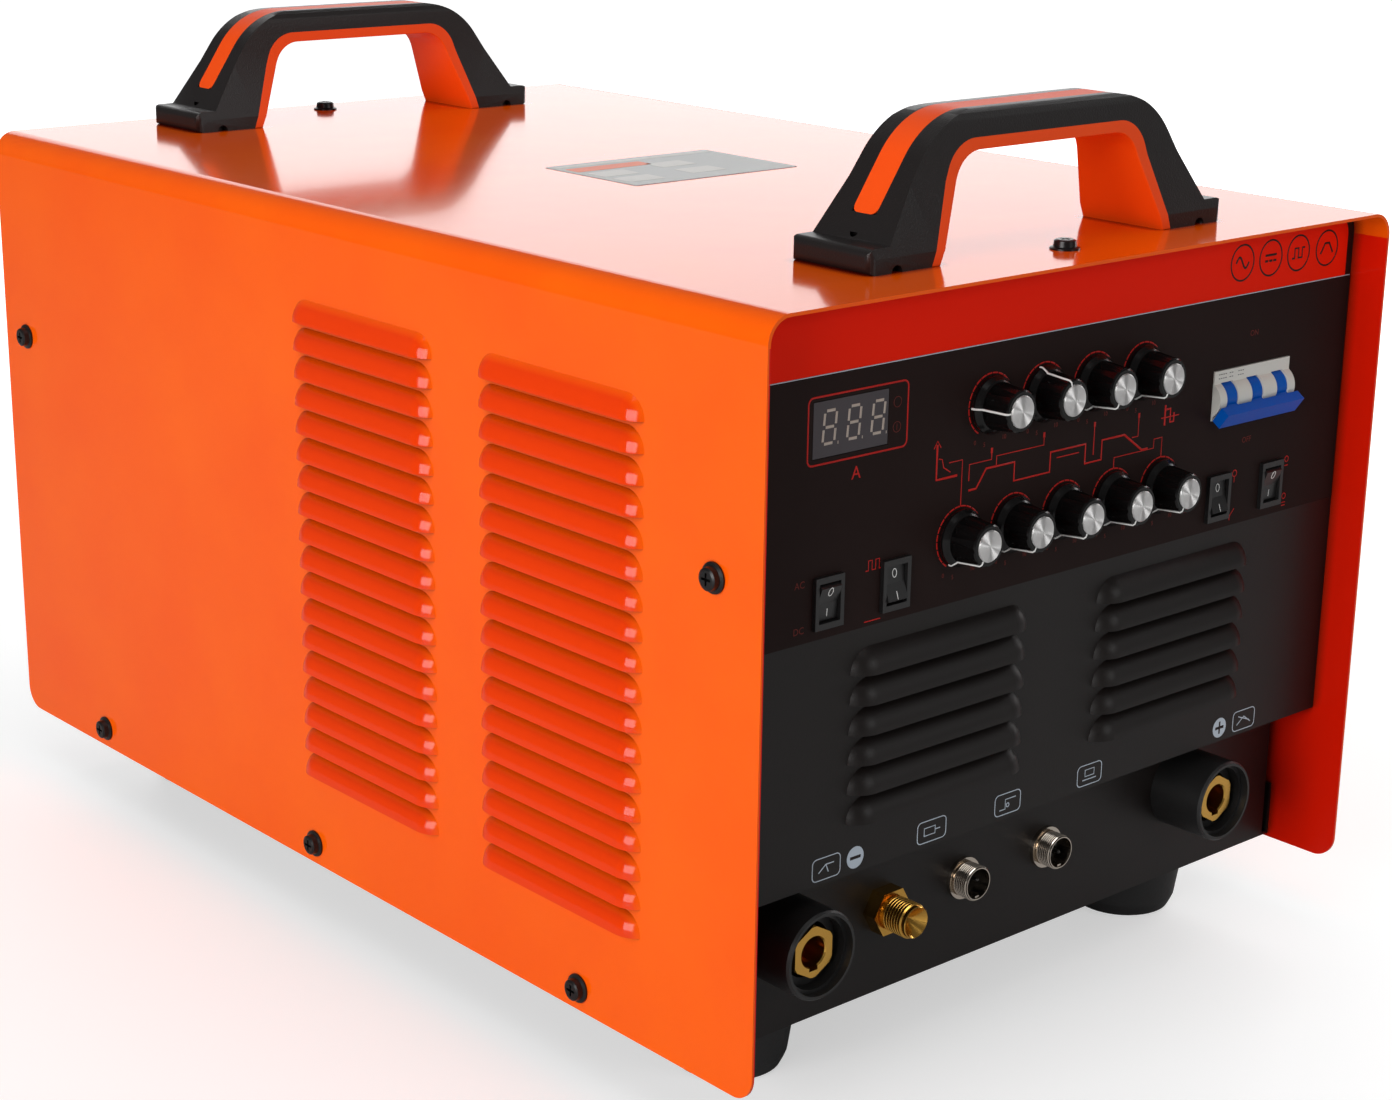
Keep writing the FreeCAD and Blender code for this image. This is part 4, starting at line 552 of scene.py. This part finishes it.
green_board = powder_coat("board_green", (0.010, 0.090, 0.030), (0.006, 0.060, 0.020),
                          0.4, 300, 0.3)
finish(green_board, "display_board", "power_board", "control_board")


# ---------------------------------------------------------------- rocker switches
# Black nylon switches snapped into the panel; each rocker has a white ring and bar
# printed on its two halves.
switch_black = powder_coat("switch_black", (0.012, 0.0115, 0.0115), (0.010, 0.0095, 0.0095),
                           0.34, 1400, 0.12)
rockers = [f"rocker_{name}" for name in ("polarity", "pulse", "process", "trigger_mode")]
finish(switch_black, "rocker_switches", *rockers)
switch_low, switch_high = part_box("rocker_switches")
z = (switch_low.z + switch_high.z) * 500
for rocker in rockers:
    low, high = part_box(rocker)
    x = (low.x + high.x) * 500
    ring = [(x + 1.15 * math.sin(a * math.pi / 8), z + 4.4 + 1.75 * math.cos(a * math.pi / 8))
            for a in range(17)]
    ink_lines(f"{rocker}_marks", [ring, [(x, z - 2.8), (x, z - 6.0)]], 0.5, white_fill,
              low.y - 0.002, body=rocker, on=nodes[rocker])


# ---------------------------------------------------------------- breaker
# Three-pole breaker in white moulded plastic with a ganged blue lever, snapped in behind
# the panel. A row of grey dashes stands for the small print on its face.
breaker_white = powder_coat("breaker_white", (0.72, 0.71, 0.66), (0.66, 0.65, 0.60),
                            0.38, 900, 0.1)
breaker_blue = powder_coat("breaker_blue", (0.0, 0.105, 0.52), (0.0, 0.085, 0.44),
                           0.36, 900, 0.08, shine=0.2)
finish(breaker_white, "breaker_case")
finish(breaker_blue, "breaker_lever")
case_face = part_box("breaker_case")[0].y
grey_ink = powder_coat("grey_ink", (0.10, 0.10, 0.11), (0.07, 0.07, 0.08), 0.5, 1500, 0.05)
ink_lines("breaker_marks", [
    [(95.5 + step * 1.5, level), (96.4 + step * 1.5, level)]
    for level in (280.4, 278.6) for step in (0, 1, 2, 3, 5, 6, 9, 10, 11)],
    0.45, grey_ink, case_face - 0.01, on=nodes["breaker_case"])


# ---------------------------------------------------------------- output sockets
# Black glass-filled nylon bodies screwed through the pan's front strip, with turned
# brass contacts inside. The fan and the cable gland are of the same nylon.
socket_black = powder_coat("socket_black", (0.0095, 0.009, 0.009), (0.0075, 0.007, 0.007),
                           0.42, 1100, 0.3)
finish(socket_black, "socket_negative", "socket_positive", "control_inserts", "fan_frame",
       "fan_rotor", "cable_gland")
brass = powder_coat("turned_brass", (0.78, 0.45, 0.10), (0.66, 0.36, 0.07),
                    0.22, 700, 0.12, metallic=1.0)
finish(brass, "socket_contacts", "gas_outlet", "gas_inlet")


# ---------------------------------------------------------------- control sockets
# Two round sockets for the torch switch and the pedal, turned from brass and nickel
# plated, each held by its thread in the pan's front strip.
nickel = powder_coat("nickel_plate", (0.62, 0.55, 0.47), (0.52, 0.46, 0.39),
                     0.16, 700, 0.08, metallic=1.0)
finish(nickel, "torch_socket", "pedal_socket")


# ---------------------------------------------------------------- symbols over the sockets
# Pale symbols printed straight on the panel's coat: polarity discs beside the output
# sockets and boxed signs for earth clamp, gas, torch switch, pedal and torch.
ICON_LEVEL = 111
ink_lines("icon_boxes", [
    round_box(x, ICON_LEVEL, width, 9.5, 2.2)
    for x, width in ((-135.2, 15.5), (-74.5, 17), (-28, 16), (25, 16), (134, 16))],
    0.5, pale_ink, panel_face)
ink_lines("icon_signs", [
    [(-139.5, 109.5), (-135.5, 112.5), (-131, 112.5)], [(-135.5, 112.5), (-134, 109)],
    [(-79, 109.3), (-72.5, 109.3), (-72.5, 112.7), (-79, 112.7), (-79, 109.3)],
    [(-72.5, 111), (-69.5, 111)],
    [(-33, 108.6), (-29.5, 108.6), (-29.5, 113), (-23, 113)],
    arc_run(-28, 110.2, 0.9, 0, 360, 8), [(20.5, 108.8), (29.5, 108.8)],
    [(22, 110.4), (28, 110.4), (28, 113.4), (22, 113.4), (22, 110.4)],
    [(129, 109), (134, 112.5), (139, 109)], [(130, 113), (138, 110)]],
    0.55, pale_ink, panel_face)
for name, x, plus in (("icon_minus_disc", -119, False), ("icon_plus_disc", 116, True)):
    bpy.ops.object.select_all(action="DESELECT")
    bpy.ops.mesh.primitive_cylinder_add(
        vertices=48, radius=0.00475, depth=2 * INK,
        location=(x / 1000, panel_face, ICON_LEVEL / 1000), rotation=(math.pi / 2, 0, 0))
    disc = bpy.context.object
    disc.name = name
    place_mesh(disc, pale_ink)
    bars = [[(x - 3, ICON_LEVEL), (x + 3, ICON_LEVEL)]]
    if plus:
        bars.append([(x, ICON_LEVEL - 3), (x, ICON_LEVEL + 3)])
    ink_lines(f"{name}_sign", bars, 1.6, dark_ink, panel_face, 2 * INK)


# ---------------------------------------------------------------- cover screws, fan guard
# Cross-head screws with a flange, which hold the cover to pan and panels, and the guard
# of welded wire in front of the fan; both are blackened steel.
black_steel = powder_coat("blackened_steel", (0.020, 0.019, 0.019), (0.014, 0.013, 0.013),
                          0.3, 900, 0.1, metallic=0.6)
finish(black_steel, "cover_screws", "fan_guard")


# ---------------------------------------------------------------- feet
# Moulded rubber feet, dull black with a coarse matt grain, each held under the pan by
# one screw down its middle.
rubber = powder_coat("foot_rubber", (0.014, 0.013, 0.013), (0.010, 0.010, 0.010),
                     0.62, 700, 0.4)
finish(rubber, "rubber_feet")


# ---------------------------------------------------------------- plated parts
# Zinc-plated steel: the folded deck that carries the boards, the earth stud on the rear
# panel and the cans of the potentiometers.
zinc = powder_coat("zinc_plate", (0.55, 0.56, 0.55), (0.48, 0.49, 0.47),
                   0.34, 500, 0.1, metallic=1.0)
finish(zinc, "middle_deck", "earth_stud", "potentiometers")


# ---------------------------------------------------------------- heatsink and windings
# Heatsinks of extruded aluminium, left bare; transformer, choke and high-frequency coil
# with varnished windings and iron. All stand inside the case.
bare_aluminium = powder_coat("bare_aluminium", (0.70, 0.70, 0.71), (0.62, 0.62, 0.63),
                             0.34, 600, 0.1, metallic=1.0)
finish(bare_aluminium, "heatsink_stack")
iron = powder_coat("varnished_iron", (0.12, 0.085, 0.06), (0.07, 0.05, 0.04), 0.45, 500, 0.2)
finish(iron, "main_transformer", "output_choke", "hf_coil")


# ---------------------------------------------------------------- carrying handles
# Two moulded nylon handles with a fine texture and well rounded edges, each with a soft
# orange lining inside the arch and an orange strip let into its top.
def merged_copy(node, name):
    """Copy of a CAD node, doubles merged and flat faces made whole, left in edit mode."""
    bpy.ops.object.select_all(action="DESELECT")
    piece = bpy.data.objects.new(name, nodes[node].data.copy())
    scene.collection.objects.link(piece)
    piece.select_set(True)
    bpy.context.view_layer.objects.active = piece
    bpy.ops.object.mode_set(mode="EDIT")
    bpy.ops.mesh.select_mode(type="EDGE")
    bpy.ops.mesh.select_all(action="SELECT")
    bpy.ops.mesh.remove_doubles(threshold=0.000005)
    bpy.ops.mesh.dissolve_limited(angle_limit=math.radians(1.5))
    bpy.ops.mesh.select_all(action="DESELECT")
    return piece


def round_edges(piece, wanted, radius, steps):
    """Round the edges that a test picks out."""
    shape = bmesh.from_edit_mesh(piece.data)
    shape.normal_update()
    bpy.ops.mesh.select_all(action="DESELECT")
    shape = bmesh.from_edit_mesh(piece.data)
    for edge in shape.edges:
        if len(edge.link_faces) != 2 or edge.calc_face_angle() <= math.radians(24):
            continue
        if wanted(edge):
            edge.select_set(True)
    bmesh.update_edit_mesh(piece.data)
    bpy.ops.mesh.bevel(offset=radius, offset_type="OFFSET", segments=steps, profile=0.5,
                       affect="EDGES", clamp_overlap=True)
    bpy.ops.mesh.select_all(action="DESELECT")


def finish_copy(piece, paint, node):
    """Leave edit mode, shade the copy evenly and let it stand for its CAD node."""
    bpy.ops.object.mode_set(mode="OBJECT")
    bpy.ops.object.shade_smooth_by_angle(angle=math.radians(32))
    even = piece.modifiers.new("even", "WEIGHTED_NORMAL")
    even.keep_sharp = True
    even.weight = 100
    bpy.ops.object.modifier_apply(modifier="even")
    place_mesh(piece, paint, "chassis")
    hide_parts(node)


def side_edge(edge, outward):
    """True for an edge between a side face and the arch's outer or inner contour."""
    first, second = sorted((face.normal for face in edge.link_faces),
                           key=lambda normal: abs(normal.y))
    middle = (edge.verts[0].co + edge.verts[1].co) / 2
    facing = first.x * (1 if middle.x > 0 else -1) + first.z
    return abs(second.y) > 0.7 and abs(first.y) < 0.45 and facing * outward > 0.25


SHOE_HEIGHT = 0.0108
SHOE_START = 0.0955


def above_shoe(edge):
    """True for an edge of the arch, above the shoe that it stands on."""
    return min(vertex.co.z for vertex in edge.verts) > handle_foot + SHOE_HEIGHT


def shoe_edge(edge):
    """True for an outer edge at the end of a shoe, clear of the cover."""
    return edge.is_convex and all(
        abs(vertex.co.x) > SHOE_START and vertex.co.z > handle_foot + 0.003
        for vertex in edge.verts)


def lining_end(edge):
    """True for the short upright corner edges at the two ends of the lining."""
    first, second = (vertex.co for vertex in edge.verts)
    return (edge.calc_length() < 0.0018 and abs(first.x) > 0.07
            and abs(first.y - second.y) < 0.0001 and first.z - handle_foot < 0.024)


handle_black = powder_coat("handle_texture", (0.0105, 0.0082, 0.0080),
                           (0.0085, 0.0065, 0.0062), 0.36, 1300, 0.6, shine=0.4)
grip_orange = powder_coat("grip_orange", (0.90, 0.080, 0.002), (0.86, 0.068, 0.001),
                          0.46, 1100, 0.2, shine=0.25)
for end in ("front", "rear"):
    handle_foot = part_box(f"handle_{end}")[0].z
    shell = merged_copy(f"handle_{end}", f"handle_{end}_shell")
    round_edges(shell, lambda edge: above_shoe(edge) and side_edge(edge, 1), 0.003, 4)
    round_edges(shell, lambda edge: above_shoe(edge) and side_edge(edge, -1), 0.0008, 2)
    round_edges(shell, shoe_edge, 0.0016, 3)
    finish_copy(shell, handle_black, f"handle_{end}")

    soft = merged_copy(f"handle_{end}_grip", f"handle_{end}_lining")
    round_edges(soft, lining_end, 0.003, 4)
    round_edges(soft, lambda edge: side_edge(edge, -1), 0.0032, 4)
    finish_copy(soft, grip_orange, f"handle_{end}_grip")


# ---------------------------------------------------------------- M6 screws
# Zinc-plated screws that hold handles and feet. The handles' screws come from inside the
# cover, and their ends are ground off below the top of the handle's shoe.
SCREW_END = 0.0092
screws = merged_copy("m6_screws", "m6_screw_set")
bpy.ops.mesh.select_all(action="SELECT")
bpy.ops.mesh.bisect(plane_co=(0, 0, cover_top + SCREW_END), plane_no=(0, 0, 1),
                    use_fill=True, clear_outer=True)
finish_copy(screws, zinc, "m6_screws")


# ---------------------------------------------------------------- label on the cover top
# Blank label of printed foil stuck on the cover top: a grey ground with an orange band
# and pale empty fields, no words.
def plate(name, centre, size, corner, paint):
    """Thin plate with round corners in its two long directions."""
    bpy.ops.object.select_all(action="DESELECT")
    bpy.ops.mesh.primitive_cube_add(size=1, location=centre, scale=size)
    piece = bpy.context.object
    piece.name = name
    bpy.ops.object.transform_apply(location=False, rotation=False, scale=True)
    thin = min(range(3), key=lambda way: size[way])
    bpy.ops.object.mode_set(mode="EDIT")
    bpy.ops.mesh.select_mode(type="EDGE")
    bpy.ops.mesh.select_all(action="DESELECT")
    shape = bmesh.from_edit_mesh(piece.data)
    for edge in shape.edges:
        run = edge.verts[0].co - edge.verts[1].co
        through = abs(run[thin]) > 0.9 * size[thin] and run.length < 1.1 * size[thin]
        edge.select_set(through)
    bmesh.update_edit_mesh(piece.data)
    bpy.ops.mesh.bevel(offset=corner, offset_type="OFFSET", segments=4, affect="EDGES")
    bpy.ops.object.mode_set(mode="OBJECT")
    return place_mesh(piece, paint, "chassis")


foil_grey = powder_coat("foil_grey", (0.42, 0.425, 0.42), (0.37, 0.375, 0.37), 0.4, 900, 0.05)
foil_orange = powder_coat("foil_orange", (0.85, 0.12, 0.004), (0.80, 0.10, 0.003),
                          0.42, 900, 0.05)
foil_pale = powder_coat("foil_pale", (0.62, 0.60, 0.57), (0.56, 0.54, 0.51), 0.42, 900, 0.05)
LABEL_X, LABEL_Y = 0.0155, -0.0035
LABEL_WALL = 0.0002
FIELD_WALL = 0.00012
label_face = cover_top + LABEL_WALL
plate("top_label", (LABEL_X, LABEL_Y, label_face - LABEL_WALL / 2),
      (0.103, 0.069, LABEL_WALL), 0.0015, foil_grey)
plate("top_label_band", (LABEL_X - 0.025, LABEL_Y + 0.018, label_face),
      (0.046, 0.011, FIELD_WALL), 0.001, foil_orange)
fields = ((-0.036, 0.001), (-0.036, -0.018), (0.006, 0.008), (0.006, -0.014))
for number, (x, y) in enumerate(fields, 1):
    plate(f"top_label_field_{number}", (LABEL_X + x, LABEL_Y + y, label_face),
          (0.022, 0.014, FIELD_WALL), 0.001, foil_pale)
plate("top_label_edge", (LABEL_X, LABEL_Y + 0.0295, label_face),
      (0.097, 0.005, FIELD_WALL), 0.001, foil_pale)


# ---------------------------------------------------------------- rating plate
# Blank zinc-plated plate on the rear panel, held by four rivets: two columns of empty
# fields with a dark pair at the top, no words.
foil_dark = powder_coat("foil_dark", (0.045, 0.040, 0.038), (0.035, 0.031, 0.030),
                        0.42, 900, 0.05)
RATING_LEVEL = 0.268
RATING_WALL = 0.0005
behind = Vector((0.0, 0.5, RATING_LEVEL))
rear_face = nodes["rear_panel"].ray_cast(behind, Vector((0, -1, 0)))[1].y
plate("rating_plate", (0.0, rear_face + RATING_WALL / 2, RATING_LEVEL),
      (0.110, RATING_WALL, 0.062), 0.003, zinc)
for row in range(5):
    level = RATING_LEVEL + 0.020 - 0.010 * row
    for column, (x, width) in enumerate(((-0.030, 0.040), (0.022, 0.052)), 1):
        plate(f"rating_field_{row + 1}_{column}", (x, rear_face + 0.00053, level),
              (width, FIELD_WALL, 0.0072), 0.0008, foil_dark if row == 0 else foil_pale)
for number, (side, level) in enumerate(((-1, -1), (1, -1), (-1, 1), (1, 1)), 1):
    bpy.ops.object.select_all(action="DESELECT")
    bpy.ops.mesh.primitive_uv_sphere_add(
        segments=20, ring_count=10, radius=0.0016,
        location=(side * 0.0522, rear_face + RATING_WALL, RATING_LEVEL + level * 0.0278))
    rivet = bpy.context.object
    rivet.name = f"rating_rivet_{number}"
    rivet.scale.y = 0.55
    bpy.ops.object.shade_smooth()
    place_mesh(rivet, zinc, "chassis")
